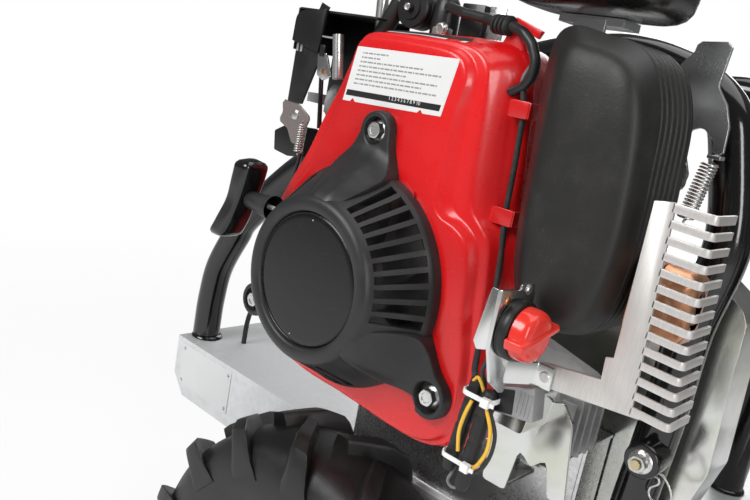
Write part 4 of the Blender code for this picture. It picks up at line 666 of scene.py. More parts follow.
def finish(key):
    """The finish of that name, made when it is first asked for: its function and what it is given."""
    if key not in FINISHES:
        chosen = bpy.context.scene.cable_layer_colours
        red, knob, plastic, deck = (tuple(c)
            for c in (chosen.shroud, chosen.knob, chosen.plastic, chosen.deck))
        make, *values = {
            "red": (glossy_paint, "red shroud paint", red, shaded(red, 0.8)),
            "red knob": (glossy_paint, "red knob plastic", knob, shaded(knob, 0.85), 0.22, 0.35, 0.00002,
                0.05),
            "cover": (grained_plastic, "black starter cover", plastic, 0.44, 2300.0),
            "heat cover": (grained_plastic, "matt silencer cover", (0.012, 0.0112, 0.0105), 0.5, 1500.0,
                0.00009, 0.3),
            "box": (grained_plastic, "black moulded box", (0.009, 0.009, 0.0095), 0.42, 2600.0, 0.00003,
                0.12),
            "gloss black": (smooth_black, "gloss black paint", (0.005, 0.005, 0.005), 0.14, 0.3),
            "badge": (smooth_black, "gloss black badge", (0.003, 0.003, 0.003), 0.26, 0.0, 0.00001),
            "satin black": (smooth_black, "satin black paint", (0.008, 0.008, 0.0085), 0.3, 0.1),
            "tank": (smooth_black, "black fuel tank", (0.009, 0.0085, 0.008), 0.26, 0.1, 0.00006),
            "rubber": (soft_rubber, "black rubber"),
            "lead": (soft_rubber, "plug lead rubber", (0.012, 0.012, 0.0125), 0.38, 0.3),
            "tyre": (tyre_rubber, "tyre rubber"),
            "deck": (galvanised, "galvanised deck", deck, shaded(deck, 0.86), 0.36, 0.45, 160.0),
            "sheet": (galvanised, "galvanised sheet", (0.62, 0.62, 0.62), (0.54, 0.55, 0.55), 0.2, 0.9,
                420.0),
            "passivated": (passivated, "passivated zinc"),
            "pale zinc": (passivated, "pale zinc bracket", (0.74, 0.745, 0.75), (0.66, 0.68, 0.62),
                (0.62, 0.61, 0.66), 0.4),
            "bolt": (plated, "plated fastener"),
            "yellow bolt": (plated, "yellow plated nut", (0.62, 0.52, 0.3), 0.24, 0.4),
            "bright": (machined, "bright steel"),
            "spring": (plated, "spring wire", (0.6, 0.59, 0.57), 0.18, 0.5),
            "comb": (brushed, "stainless comb"),
            "lever": (brushed, "zinc-plated lever plate", (0.56, 0.57, 0.58), (1.0, 1.0, 8.0), 0.22, 0.92),
            "cast": (cast_metal, "cast aluminium"),
            "cast dark": (cast_metal, "grey cast housing", (0.26, 0.26, 0.265), 0.46, 0.75, 380.0, 0.4),
            "fan": (cast_metal, "flywheel casting", (0.24, 0.235, 0.23), 0.4, 0.85, 700.0, 0.5),
            "copper": (heat_tinted, "heat-tinted silencer"),
            "white": (plain_plastic, "white nylon tie", (0.86, 0.86, 0.85), 0.36, 0.12, 0.15),
            "yellow": (plain_plastic, "yellow wire", (0.86, 0.5, 0.045), 0.36, 0.3),
            "black wire": (plain_plastic, "black wire", (0.018, 0.018, 0.019), 0.34, 0.3),
            "grey wire": (plain_plastic, "grey wire", (0.2, 0.2, 0.205), 0.4, 0.3),
            "sleeve": (woven_sleeve, "braided sleeve"),
            "label": (label_film, "white label film", (0.76, 0.76, 0.755)),
            "print": (label_film, "grey print", (0.3, 0.3, 0.3), 0.34),
            "arm": (brushed, "browned arm plate", (0.4, 0.345, 0.33), (1.0, 1.0, 8.0), 0.3, 0.8),
            "label black": (label_film, "black label band", (0.012, 0.012, 0.012), 0.34),
            "plate": (label_film, "pale plate film", (0.7, 0.71, 0.71), 0.34),
            "soil steel": (brushed, "worn blade steel", (0.34, 0.33, 0.32), (1.0, 1.0, 12.0), 0.34, 0.9),
            "reel": (grained_plastic, "black reel plastic", (0.011, 0.011, 0.011), 0.42, 1900.0, 0.00003,
                0.15),
            "grip": (grained_plastic, "handlebar grip", (0.01, 0.01, 0.01), 0.62, 1100.0, 0.0001, 0.15),
        }[key]
        FINISHES[key] = make(*values)
    return FINISHES[key]


# Sizes and colours a user may change

class EngineSizes(bpy.types.PropertyGroup):
    """Sizes of the engine's outer pieces."""
    badge_radius: FloatProperty(name="Badge radius",
        description="Radius of the round badge on the starter cover", default=0.0465, min=0.03, max=0.047,
        unit="LENGTH")
    slot_count: IntProperty(name="Grille slots",
        description="Slots in the right-hand group of the starter grille", default=10, min=4, max=12)
    lead_radius: FloatProperty(name="Plug lead radius", description="Radius of the spark plug lead",
        default=0.0034, min=0.003, max=0.0045, unit="LENGTH")
    rib_count: IntProperty(name="Silencer ribs", description="Ribs round the side of the silencer cover",
        default=6, min=3, max=8)
    finger_count: IntProperty(name="Comb slots", description="Slots of the stainless comb", default=13, min=6,
        max=13)
    spring_turns: IntProperty(name="Spring turns", description="Turns of the belt tension spring", default=17,
        min=8, max=22)


LUG = 0.0105  # height of the lugs for which their top line is drawn


class ChassisSizes(bpy.types.PropertyGroup):
    """Sizes of the chassis and running gear."""
    hoop_radius: FloatProperty(name="Hoop tube radius", description="Radius of the black tube hoops",
        default=0.016, min=0.012, max=0.016, unit="LENGTH")
    lug_count: IntProperty(name="Lugs", description="Lugs on each side of a tyre", default=15, min=8, max=20)
    lug_height: FloatProperty(name="Lug height", description="How far a lug stands out of the tyre",
        default=LUG, min=0.004, max=0.011, unit="LENGTH")


class Colours(bpy.types.PropertyGroup):
    """Colours of the painted and moulded parts."""
    shroud: FloatVectorProperty(name="Shroud red", description="Colour of the fan shroud", subtype="COLOR",
        size=3, default=(0.72, 0.008, 0.01), min=0.0, max=1.0)
    knob: FloatVectorProperty(name="Knob red", description="Colour of the stop switch's knob",
        subtype="COLOR", size=3, default=(0.78, 0.035, 0.022), min=0.0, max=1.0)
    plastic: FloatVectorProperty(name="Cover black", description="Colour of the starter cover",
        subtype="COLOR", size=3, default=(0.0188, 0.0188, 0.0196), min=0.0, max=1.0)
    deck: FloatVectorProperty(name="Deck grey", description="Colour of the galvanised deck", subtype="COLOR",
        size=3, default=(0.76, 0.77, 0.78), min=0.0, max=1.0)


class StageLook(bpy.types.PropertyGroup):
    """Light and floor."""
    key_power: FloatProperty(name="Key light", description="Power of the large soft light", default=52.0,
        min=0.0, unit="POWER")
    floor_colour: FloatVectorProperty(name="Floor", description="Colour of the pale floor", subtype="COLOR",
        size=3, default=(0.92, 0.92, 0.92), min=0.0, max=1.0)


# Starter

SLOT_ENDS = (0.0602, 0.0788)  # distance of a slot's two ends from the crank axis
SLOT_HALF = (0.0026, 0.0036)  # half the width of a slot at its two ends
RIM = 0.0489  # depth at which the cover's legs end on the shroud
ROPE = (0.02, 0.033)  # depth and height of the starter rope's way
# Radius and depth of the cover's skin, from the badge's recess over the crest and down the grille to the rim
COVER_SKIN = np.array(mm((46.2, 3), (47, 1.2), (47.4, -0.6), (48.2, -1.5), (50, -2.1), (52.5, -2.3),
    (54.8, -1.9), (56.8, -1), (58.2, 0.6), (59.3, 2.6), (60.2, 4.6), (64, 11.2), (68, 18.4), (72.5, 26.4),
    (76.8, 33.8), (78.8, 36.8), (80, 38.4), (80.8, 39.8), (81.2, 41.8), (81.2, 48.9)))
SLOT_ROWS = (10, 15)  # rows of the skin between which a slot is open
# Angle, distance from the crank axis, radius and width of the flank on the clockwise side of each ear
EARS = ((89.6, 0.106, 0.0136, 1.0), (-32.2, 0.1062, 0.015, 0.6), (208.0, 0.111, 0.0136, 1.0))


def cover_columns(count):
    """Angles of the grid's columns at the slots' inner and outer ends: each slot has its own narrow columns,
    whose angle is the slot's middle plus a share of its half width over the radius, and the rest are spread
    between."""
    groups = [first - 8.1 * k
        for first, slots in ((65.5, count), (-70.0, 6), (157.0, 5)) for k in range(slots)]
    centres = np.sort(np.array(groups) % 360.0)
    inner, outer, is_slot = [], [], []
    for k, middle in enumerate(centres):
        after = centres[(k + 1) % len(centres)] + (360.0 if k + 1 == len(centres) else 0.0)
        half_in, half_out = (math.degrees(half / reach) for half, reach in zip(SLOT_HALF, SLOT_ENDS))
        inner += [middle - half_in, middle + half_in]
        outer += [middle - half_out, middle + half_out]
        gap = after - middle
        extra = max(1, int(gap / 4.5) - 1)
        part = np.arange(1, extra + 1) / (extra + 1)
        inner += list(middle + half_in + part * (gap - 2 * half_in))
        outer += list(middle + half_out + part * (gap - 2 * half_out))
        is_slot += [True] + [False] * (extra + 1)
    return np.radians(inner), np.radians(outer), np.array(is_slot)


def cover_skin(count):
    """The cover's dome: its profile turned round the crank axis on columns that follow the slots, the slots'
    quads left out."""
    inner, outer, is_slot = cover_columns(count)
    radius, depth = COVER_SKIN[:, :1], COVER_SKIN[:, 1:]
    share = np.clip((radius - SLOT_ENDS[0]) / (SLOT_ENDS[1] - SLOT_ENDS[0]), -0.2, 1.2)
    angle = inner[None] * (1 - share) + outer[None] * share
    points = np.stack([radius * np.cos(angle), np.broadcast_to(depth, angle.shape),
        radius * np.sin(angle)], -1)
    shape = grid(points, first=False, last=False)
    keep = np.ones((len(COVER_SKIN) - 1, len(inner)), bool)
    keep[SLOT_ROWS[0]:SLOT_ROWS[1]] = ~is_slot[None]
    return without(shape, keep)


def spun(points, degrees):
    """Points turned round the crank axis."""
    turn = math.radians(degrees)
    x, y, z = np.moveaxis(points, -1, 0)
    return np.stack([x * math.cos(turn) - z * math.sin(turn), y, x * math.sin(turn) + z * math.cos(turn)], -1)


def leg(degrees, reach, radius, narrow):
    """A leg with its ear, drawn round the bolt: in each direction the surface runs from the deep pocket's
    rim to the outline, a circle whose tangents widen into two flanks, and then down to the shroud. Its
    height follows a smooth line of the distance from the crank axis, from the dome's crest down to the flat
    ear."""
    line = smooth(mm((46, -1.2), (54.5, -1.4), (61, 2.2), (69, 11.2), (78, 23.2), (86, 34), (92, 39.2),
        (98, 41.1), (112, 41.3), (130, 41.3)), 80)
    turn = np.radians(np.linspace(-88, 88, 17))
    flank = np.array(((0.1, 1.09), (0.093, 1.3), (0.085, 1.62), (0.077, 1.86), (0.066, 1.55), (0.056, 0.85)))
    side = np.stack([flank[:, 0] - reach, flank[:, 1] * radius], -1)
    outline = np.vstack([radius * np.stack([np.cos(turn), np.sin(turn)], -1), side,
        side[::-1] * (1, -narrow)])
    outline = smooth(outline, 240, True)
    angle = np.arange(120) * TAU / 120
    edge = np.interp(angle, np.arctan2(outline[:, 1], outline[:, 0]), np.hypot(*outline.T), period=TAU)
    pocket = radius - 0.0042

    def height(r):
        """Depth of the surface at a distance from the bolt, lower towards the leg's sides."""
        lower = 0.013 * np.clip((np.abs(r * np.sin(angle)) - 0.007) / 0.02, 0, 1)
        lower *= np.clip((0.096 - reach - r * np.cos(angle)) / 0.022, 0, 1)
        return np.minimum(np.interp(reach + r * np.cos(angle), line[:, 0], line[:, 1]) + lower, 0.046)

    rows = [(np.full(120, pocket * k), np.full(120, y)) for k, y in ((0.97, 0.048), (1.0, 0.047),
        (1.0, 0.0424), (1.03, 0.0416))]
    for part in np.linspace(0.0, 1.0, 12) ** 1.3:
        r = pocket + 0.001 + (edge - 0.0026 - pocket) * part
        rows.append((r, height(r)))
    crown = height(edge)
    for draw, drop in ((0.0009, 0.0003), (0.0003, 0.001), (0.0, 0.0022), (-0.0005, 0.006)):
        rows.append((edge - draw, np.minimum(crown + drop, RIM)))
    rows.append((edge + 0.0006, np.full(120, RIM)))
    points = np.stack([np.stack([reach + r * np.cos(angle), y, r * np.sin(angle)], -1) for r, y in rows])
    return grid(spun(points, degrees), last=False)


def starter_cover(sizes):
    """Black starter cover with its grille, three legs and ears, the rope's guide and the drum's post."""
    cover = Piece("starter_cover_shell", "chassis")
    cover.add(cover_skin(sizes.slot_count), "cover")
    cover.make("black_plastic", ("starter_cover",), 46.0, wall=0.0022, bevel=0.00035)
    legs = Piece("starter_cover_legs", "chassis")
    for ear in EARS:
        legs.add(leg(*ear), "cover")
    legs.add(tube(mm((3, 0), (6.2, 0.2), (6.8, 1.2), (7.2, 9), (9.8, 29)), (-0.094, *ROPE), (1, 0, 0), 32),
        "cover")
    legs.add(tube(mm((3, 0), (3, 24)), (-0.094, *ROPE), (1, 0, 0), 24), "cover")
    legs.add(turned(mm((11.8, 2.6), (11.8, 11), (5.8, 11.6), (5.8, 28.3), (9.8, 28.3), (9.8, 29.8)),
        steps=32), "cover")
    legs.add(turned(mm((47, 2.8), (10, 3), (10, 4.6), (47, 4.8)), steps=64), "cover")
    legs.make("black_plastic", (), 42.0)


def badge(sizes):
    """Bare gloss badge, slightly domed, with a fine groove near its rim and two moulded pips."""
    r = sizes.badge_radius
    disc = Piece("bare_badge", "chassis")
    disc.add(turned([(0.0, -0.0003), (0.3 * r, -0.00025), (0.62 * r, -0.00008), (0.9 * r, 0.00022),
        (r - 0.0013, 0.00035), (r - 0.0009, 0.0006), (r - 0.0006, 0.0004), (r - 0.0002, 0.0006), (r, 0.001),
        (r, 0.0018)], steps=96), "badge")
    for degrees in (92.0, 262.0):
        spot = spun(np.array((r - 0.0048, 0.0, 0.0)), degrees)
        disc.add(turned(mm((0, -0.4), (0.35, -0.4), (0.45, 0.4)), spot, steps=10), "label")
    disc.make("black_plastic", ("badge_disc",), 30.0)


def cover_bolts():
    """Three flange bolts of the cover, each with its washer face and dished head."""
    for number, (degrees, reach, *_) in enumerate(EARS, 1):
        seat = spun(np.array((reach, 0.0478, 0.0)), degrees)
        head = Piece(f"flange_bolt_{number}", "chassis")
        head.add(hex_bolt(seat, (0, -1, 0), 0.0106, 0.0074, flange=0.008), "bolt")
        head.make("bright_steel", (f"cover_bolt_{number}",), 28.0)


def fan_and_drum():
    """What shows through the grille: the flywheel with its curved blades and nut, and the rope drum."""
    wheel = Piece("flywheel_fan", "crank")
    wheel.add(tube(mm((8.4, 56.2), (16, 56.2), (16.5, 62.5), (40, 65), (60, 63.6), (63, 64), (63.8, 66.5),
        (63.6, 70), (20, 70.3), (20, 79.5), (8.4, 79.5)), steps=64), "fan")
    part = np.linspace(0, 1, 9)[:, None]
    for k in range(7):
        bend = np.radians(360.0 * k / 7 + 8.0 + 16.0 * part)
        middle = np.concatenate([(0.03 + 0.0325 * part) * np.cos(bend), 0 * part,
            (0.03 + 0.0325 * part) * np.sin(bend)], 1)
        out = np.gradient(middle, axis=0)
        out /= np.linalg.norm(out, axis=1)[:, None]
        across = np.stack([-out[:, 2], 0 * out[:, 0], out[:, 0]], -1) * 0.0011
        low, high = np.array((0, 0.0548, 0)), np.array((0, 0.0652, 0))
        wheel.add(grid(np.stack([middle - across + high, middle - across + low, middle + across + low,
            middle + across + high], 1)), "fan")
    wheel.make("cast_aluminium", ("flywheel",), 36.0)
    drum = Piece("rope_drum", "drum")
    rope = np.linspace(0, 5 * TAU, 200)
    coil = np.stack([0.0293 * np.cos(rope), 0.0172 + 0.0056 * rope / rope[-1], 0.0293 * np.sin(rope)], -1)
    drum.add(tube(mm((6.4, 12.2), (31, 12.2), (32.8, 12.6), (32.8, 14.8), (27, 17.6), (27, 22.4),
        (32.8, 25.2), (32.8, 27.6), (31, 28), (6.4, 28)), steps=64), "box")
    drum.add(swept(coil, 0.0016, 8), "label")
    drum.make("black_plastic", ("starter_drum",), 36.0)


def recoil_grip():
    """T-shaped pull handle: a tall bow of rounded-rectangle sections, its neck, and the rope from the drum to
    the grip, a straight cord that rides on no body."""
    grip = Piece("recoil_handle", "pull_grip")
    t = np.linspace(-0.0338, 0.0338, 33)[:, None]
    end = np.clip((np.abs(t) - 0.0278) / 0.006, 0, 1)
    round_off = np.sqrt(1 - 0.93 * end ** 2)
    a = np.linspace(0, TAU, 33)[None, :-1]
    waist = 1 - 0.1 * np.exp(-(t / 0.012) ** 2)
    half_x, half_y = 0.0094 * round_off * waist, 0.0118 * round_off * waist
    cx, sy = np.cos(a), np.sin(a)
    x = -0.1045 + half_x * np.sign(cx) * np.abs(cx) ** 0.5 + 0.34 * t - 4.0 * t ** 2
    y = 0.02 + half_y * np.sign(sy) * np.abs(sy) ** 0.5
    grip.add(grid(np.stack([x, y, np.broadcast_to(t + 0.03, x.shape)], -1)), "gloss black")
    grip.add(turned(mm((4.6, 0), (5.2, 1.2), (6.4, 4.8), (7.8, 10), (8.6, 15)), (-0.0954, *ROPE), (-1, 0, 0),
        32), "gloss black")
    grip.make("black_plastic", ("recoil_grip",), 40.0)
    rope = Piece("starter_rope", None)
    rope.add(swept(np.linspace((-0.108, *ROPE), (-0.0405, *ROPE), 120), 0.0019, 12), "label")
    pulled = rope.make("black_plastic", (), 40.0)
    drum_side, grip_side = (np.array((x, *ROPE)) + ENGINE for x in (-0.062, -0.104))
    tuple(drum_side)
    tuple(grip_side)
    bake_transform(pulled)


# Shroud, silencer, comb

# Outlines (x, z) in metres of the shroud's front and of its skirt, seen along the crank axis
FACE_LINE = np.array(((10, -90), (50, -93), (82, -92), (100, -82), (108, -62), (106, -30), (99, 5), (95, 32),
    (89, 50), (78, 58), (66, 62), (60, 72), (59, 98), (60, 128), (63, 152), (50, 166), (10, 169),
    (-20, 168.5), (-33, 166), (-38.5, 158), (-42, 140), (-46.5, 117), (-55, 93), (-64, 69), (-79, 48),
    (-94, 24), (-101, -15), (-97, -50), (-84, -76), (-40, -87))) / 1000.0
SKIRT_LINE = np.array(((8, -98), (52, -101), (90, -100), (110, -90), (119, -68), (120, -30), (120, 10),
    (119, 40), (118, 56), (112, 67), (107, 76), (104, 96), (101, 120), (98, 146), (92, 166), (80, 177),
    (50, 179), (20, 178), (-20, 176.5), (-40, 173), (-49, 161), (-62, 140), (-77, 116), (-88, 92), (-98, 68),
    (-106, 45), (-110, 25), (-112, -16), (-110, -54), (-101, -82), (-52, -97))) / 1000.0
# Share of the way from face to skirt, depth and draw-in of each row: a lip, the first slope, a valley, the
# second ridge, the broad side slope and the fall to the skirt
SHROUD_ROWS = np.array(((0.0, 0.0, 0.02), (0.0, 0.0, 0.006), (0.0, 0.0, 0.0022), (0.0, 0.0005, 0.0006),
    (0.02, 0.0014, 0.0), (0.1, 0.0033, 0.0), (0.17, 0.005, 0.0), (0.2, 0.00545, 0.0), (0.24, 0.0056, 0.0),
    (0.38, 0.0059, 0.0), (0.44, 0.0062, 0.0), (0.48, 0.0072, 0.0), (0.52, 0.009, 0.0), (0.62, 0.0124, 0.0),
    (0.72, 0.0158, 0.0), (0.76, 0.0174, 0.0), (0.82, 0.02, 0.0), (0.94, 0.0235, 0.0), (1.0, 0.0265, 0.0),
    (1.0, 0.029, 0.0), (1.0, 0.04, 0.0), (1.0, 0.05, 0.0), (1.0, 0.0557, 0.0)))
SHROUD_FRONT = 0.0493


def shroud_skin(columns=240):
    """The pressed shroud: at each row the face's outline is drawn towards the skirt's by a share, moved in
    by a distance and set back by a depth; the face runs flat from its lip to the round fan opening and rises
    by 2 mm round it, as a smooth step of the distance from the crank axis."""
    face, skirt = smooth(FACE_LINE, columns, True), smooth(SKIRT_LINE, columns, True)
    middle = np.array((0.005, 0.04))
    angle = np.arctan2(face[:, 1], face[:, 0])
    hole = np.stack([0.0765 * np.cos(angle), 0.0765 * np.sin(angle)], -1)
    flats = []
    for share, depth, draw in SHROUD_ROWS:
        flat = (1 - share) * face + share * skirt
        away = flat - middle
        reach = np.linalg.norm(away, axis=1)[:, None]
        flats.append((middle + away * (reach - draw) / reach, depth))
    first = flats[0][0]
    flats = [(hole + (first - hole) * part, 0.0014 if part == 0 else 0.0)
        for part in (0.0, 0.05, 0.15, 0.25, 0.35, 0.45, 0.55, 0.65, 0.8, 0.92)] + flats
    rows = []
    for number, (flat, depth) in enumerate(flats):
        far = np.clip((np.hypot(*flat.T) - 0.082) / 0.022, 0, 1)
        raised = 0.002 * (1 - far * far * (3 - 2 * far)) * (number < 14)
        rows.append(np.stack([flat[:, 0], SHROUD_FRONT + depth - raised, flat[:, 1]], -1))
    return grid(np.stack(rows), first=False, last=False)


def engine_shroud():
    """Red fan shroud with its lug, fin and wire clips, and the label place with its numbered band."""
    shell = Piece("fan_shroud", "chassis")
    shell.add(shroud_skin(), "red")
    shell.make("red_paint", ("engine_shroud",), 60.0, wall=0.0024)
    parts = Piece("shroud_lug_and_clips", "chassis")
    lug = filleted(mm((64, 172, 2), (88, 166, 2), (80, 186, 4), (70.5, 187, 4)), 0.002, 5)
    parts.add(slab(lug, 0.074, 0.0835, "y", 0.0022, 4), "red")
    tab = filleted(mm((69, 190.5), (89, 183.5), (91.5, 188.5), (70, 195.5)), 0.0006, 3)
    parts.add(slab(tab, 0.08, 0.0835, "y", 0.0004), "red")
    for x, z, wide in ((0.099, 0.139, 0.007), (0.104, 0.0715, 0.0078)):
        parts.add(slab(filleted(oblong(x, z, wide, 0.0054), 0.0016, 4), 0.0607, 0.062, "y", 0.0005), "red")
        for side in (-1, 1):
            low = x + side * wide - 0.0008
            parts.add(block((low, 0.0612, z - 0.005), (low + 0.0016, 0.0757, z + 0.005)), "red")
    parts.make("red_paint", (), 36.0)
    label_place()


def label_place():
    """The label, left bare but for plain numbers in its black band, and the bare strip over the top edge."""
    label = Piece("shroud_label", "chassis")
    outline = np.array(mm((-36.2, 160), (55.5, 162.5), (49, 124.5), (33.5, 123.8), (31.2, 126.2),
        (28.6, 123.6), (-30, 121.2), (-32.5, 123.6), (-35.2, 121), (-42.5, 120.7)))
    label.add(slab(filleted([tuple(p) for p in outline], 0.0008, 3), SHROUD_FRONT - 0.00022,
        SHROUD_FRONT + 0.0002, "y", 0.00005, 2), "label")
    band = np.array(mm((-39.5, 129), (47.8, 131.8), (47, 127.6), (-40.2, 124.8)))
    label.add(slab(band, SHROUD_FRONT - 0.0003, SHROUD_FRONT, "y", 0.00002, 2), "label black")
    slope, tall = 0.037, 0.0011
    for row, end in enumerate((-0.004, -0.008, 0.03, 0.046, 0.018, 0.044, 0.03, 0.043)):
        start, z = -0.03 - 0.0006 * row, 0.1566 - 0.0031 * row
        for k in range(60):
            stop = start + 0.0012 + 0.0042 * ((37 * k + 23 * row) % 11) / 11
            if stop > end:
                break
            left, right = z + slope * start, z + slope * stop
            shape = ((start, left), (stop, right), (stop, right + tall), (start, left + tall))
            label.add(slab(np.array(shape), SHROUD_FRONT - 0.00027, SHROUD_FRONT, "y", 0.00001, 2), "print")
            start = stop + 0.0008
    x, y = np.meshgrid(np.linspace(-0.031, 0.05, 24), np.linspace(0.0585, 0.069, 5), indexing="ij")
    for kind, low, high, lift in (("label", 0.0, 1.0, 0.0007), ("label black", 0.3, 0.94, 0.001)):
        deep = 0.0585 + (low + (high - low) * (y - 0.0585) / 0.0105) * 0.0105
        share = np.interp(deep, (0.0585, 0.069), (0.527, 0.81))
        front = np.interp(x, (-0.033, -0.02, 0.01, 0.05), (0.166, 0.1685, 0.169, 0.166))
        back = np.interp(x, (-0.04, -0.02, 0.02, 0.05), (0.173, 0.1765, 0.178, 0.179))
        label.add(grid(np.stack([x, deep, front + (back - front) * share + lift], -1), around=False), kind)
    label.make("black_plastic", (), 30.0)
    words = bpy.data.curves.new("band numbers", "FONT")
    words.body, words.size, words.extrude = "1 2 3 4 5 6 7 8 9 10", 0.0036, 0.00004
    words.resolution_u = 2
    shown = bpy.data.objects.new("band numbers", words)
    bpy.context.scene.collection.objects.link(shown)
    shown.matrix_world = (Matrix.Translation(ENGINE + np.array((0.0015, SHROUD_FRONT - 0.00034, 0.1278)))
        @ Matrix.Rotation(math.radians(-1.8), 4, "Y") @ Matrix.Rotation(math.pi / 2, 4, "X"))
    bpy.context.view_layer.update()
    mesh = bpy.data.meshes.new_from_object(shown.evaluated_get(bpy.context.evaluated_depsgraph_get()))
    mesh.transform(shown.matrix_world)
    mesh.materials.clear()
    bpy.data.objects.remove(shown)
    placed("band_numbers", mesh, [finish("label")], "chassis", None, (), 30.0)


# Outlines (x, z) in metres of the silencer cover's crowned front and of its back
COVER_FACE = np.array(((140, 172), (162, 178), (182, 170), (192, 148), (197, 112), (198, 80), (195, 52),
    (188, 32), (170, 25), (152, 30), (143, 60), (139, 110))) / 1000.0
COVER_BACK = np.array(((124, 184), (156, 188), (182, 180), (196, 154), (200, 114), (201, 80), (198, 48),
    (190, 28), (172, 20), (145, 22), (130, 50), (125, 110))) / 1000.0


def silencer_cover(sizes):
    """Ribbed heat cover: outlines drawn from the crowned front to the back, with rounded shoulder rows, then
    the ribs: each row is drawn in by its distance, the grooves between two ribs by 3.4 mm."""
    count, start = 144, 0.0215
    front, back = smooth(COVER_FACE, count, True), smooth(COVER_BACK, count, True)
    rows = [(0.0, 0.0, 0.034), (0.0, 0.0002, 0.024), (0.0, 0.0008, 0.015), (0.0, 0.0018, 0.0085),
        (0.02, 0.0032, 0.004), (0.1, 0.0052, 0.0014), (0.22, 0.008, 0.0002), (0.42, 0.012, 0.0),
        (0.62, 0.0155, 0.0), (0.82, 0.019, 0.0), (0.96, 0.0212, 0.0004)]
    pitch = 0.043 / sizes.rib_count
    for rib in range(sizes.rib_count):
        for part, draw in ((0.0, 0.003), (0.1, 0.0012), (0.22, 0.0003), (0.45, 0.0), (0.68, 0.0003),
                (0.8, 0.0012), (0.9, 0.003), (0.95, 0.0034)):
            rows.append((1.0, 0.0222 + pitch * (rib + part), draw))
    rows.append((1.0, 0.0662, 0.001))
    rings = []
    for share, depth, draw in rows:
        flat = (1 - share) * front + share * back
        away = flat - flat.mean(0)
        reach = np.linalg.norm(away, axis=1)[:, None]
        flat = flat.mean(0) + away * np.maximum(1 - draw / reach, 1 - draw / 0.045)
        rings.append(np.stack([flat[:, 0], np.full(count, start + depth), flat[:, 1]], -1))
    shell = Piece("silencer_heat_cover", "chassis")
    shell.add(grid(np.stack(rings), last=False), "heat cover")
    shell.make("black_plastic", ("silencer_cover",), 50.0, wall=0.0016)


def silencer():
    """Copper-tinted silencer: two pressed halves with a rolled seam, the outlet side, port pipe and pins."""
    box = Piece("tinted_silencer", "chassis")
    outline = filleted(mm((148, 32), (197, 32), (197, 120), (148, 120)), 0.014, 8)
    rows = mm((48, 12), (49.2, 9), (51.5, 6), (56, 4.5), (76, 4), (78, 1.6), (80, 0.4), (82, 1.6), (84, 4),
        (100, 4.5), (106, 8), (107.8, 12))
    rings = [np.insert(inset(outline, d), 1, y, 1) for y, d in rows]
    box.add(grid(np.stack(rings)), "copper")
    outline = filleted(mm((47, 30), (82, 30), (82, 76), (47, 76)), 0.012, 8)
    rows = mm((203, 0), (210, 0), (214, 1.6), (216.5, 0.2), (219, 1.6), (228, 2), (232.5, 4.5), (234.5, 9.5),
        (234.8, 16))
    rings = [np.insert(inset(outline, d), 0, x, 1) for x, d in rows]
    box.add(grid(np.stack(rings)), "copper")
    box.add(turned(mm((8.8, 0), (8.8, 103)), (0.047, 0.1235, 0.112), (1, 0, 0), 32), "copper")
    box.add(turned(mm((7, 130), (7, 149.4), (4, 149.4), (4, 153.5), (6.2, 153.5), (6.5, 153.8), (6.5, 155.1),
        (6, 155.4)), (0.17, 0.0, 0.112), steps=32), "bolt")
    box.add(swept(mm((186, 129, 86), (186, 140, 86), (186, 147, 86)), 0.0014, 10), "bolt")
    box.add(turned(mm((4, 0), (4, 22.5)), (0.217, 0.0274, 0.062), steps=24), "bolt")
    box.make("tinted_steel", ("silencer",), 40.0)


def comb_guard(sizes):
    """Stainless comb: a flat spine with its arm, and one bar between each pair of slots, carried round the
    folded corner as a strip whose centre line is two straights and a quarter turn."""
    comb = Piece("stainless_comb", "chassis")
    front, thick, deep = 0.025, 0.002, 0.027
    pitch, drop, bend = 0.00825, 0.0012, 0.0032
    spine = mm((211.5, 109), (216, 110), (222.5, 110.8), (229, 0.6), (234, -2), (174.5, -7.8), (172.2, 5.8),
        (208.8, 10), (208.2, 22.8), (212.5, 24))
    comb.add(slab(np.array(spine)[::-1], front, front + thick, "y", 0.00025, 3), "comb")
    for k in range(sizes.finger_count + 1):
        level, left = 0.1081 - pitch * k, 0.2217 + 0.0005 * k
        right = 0.2441 + (0.0059 / 0.113) * (0.113 - level)
        high = 0.00205 if k else 0.0024
        straight = [(left, front + thick / 2), (right - bend - 0.001, front + thick / 2)]
        turn = np.linspace(0, math.pi / 2, 7)[1:]
        arc = [(right - thick / 2 - bend * (1 - math.sin(t)), front + thick / 2 + bend * (1 - math.cos(t)))
            for t in turn]
        tail = [(right - thick / 2, front + deep)]
        flat = np.array(straight + arc + tail)
        path = np.stack([flat[:, 0], flat[:, 1], level - drop * (flat[:, 0] - left) / (right - left)], -1)
        comb.add(ribbon(path, (0, 0, 1), 2 * high, thick, 0.00025), "comb")
    comb.make("stainless", ("exhaust_guard",), 34.0)


# Switch, wires, controls

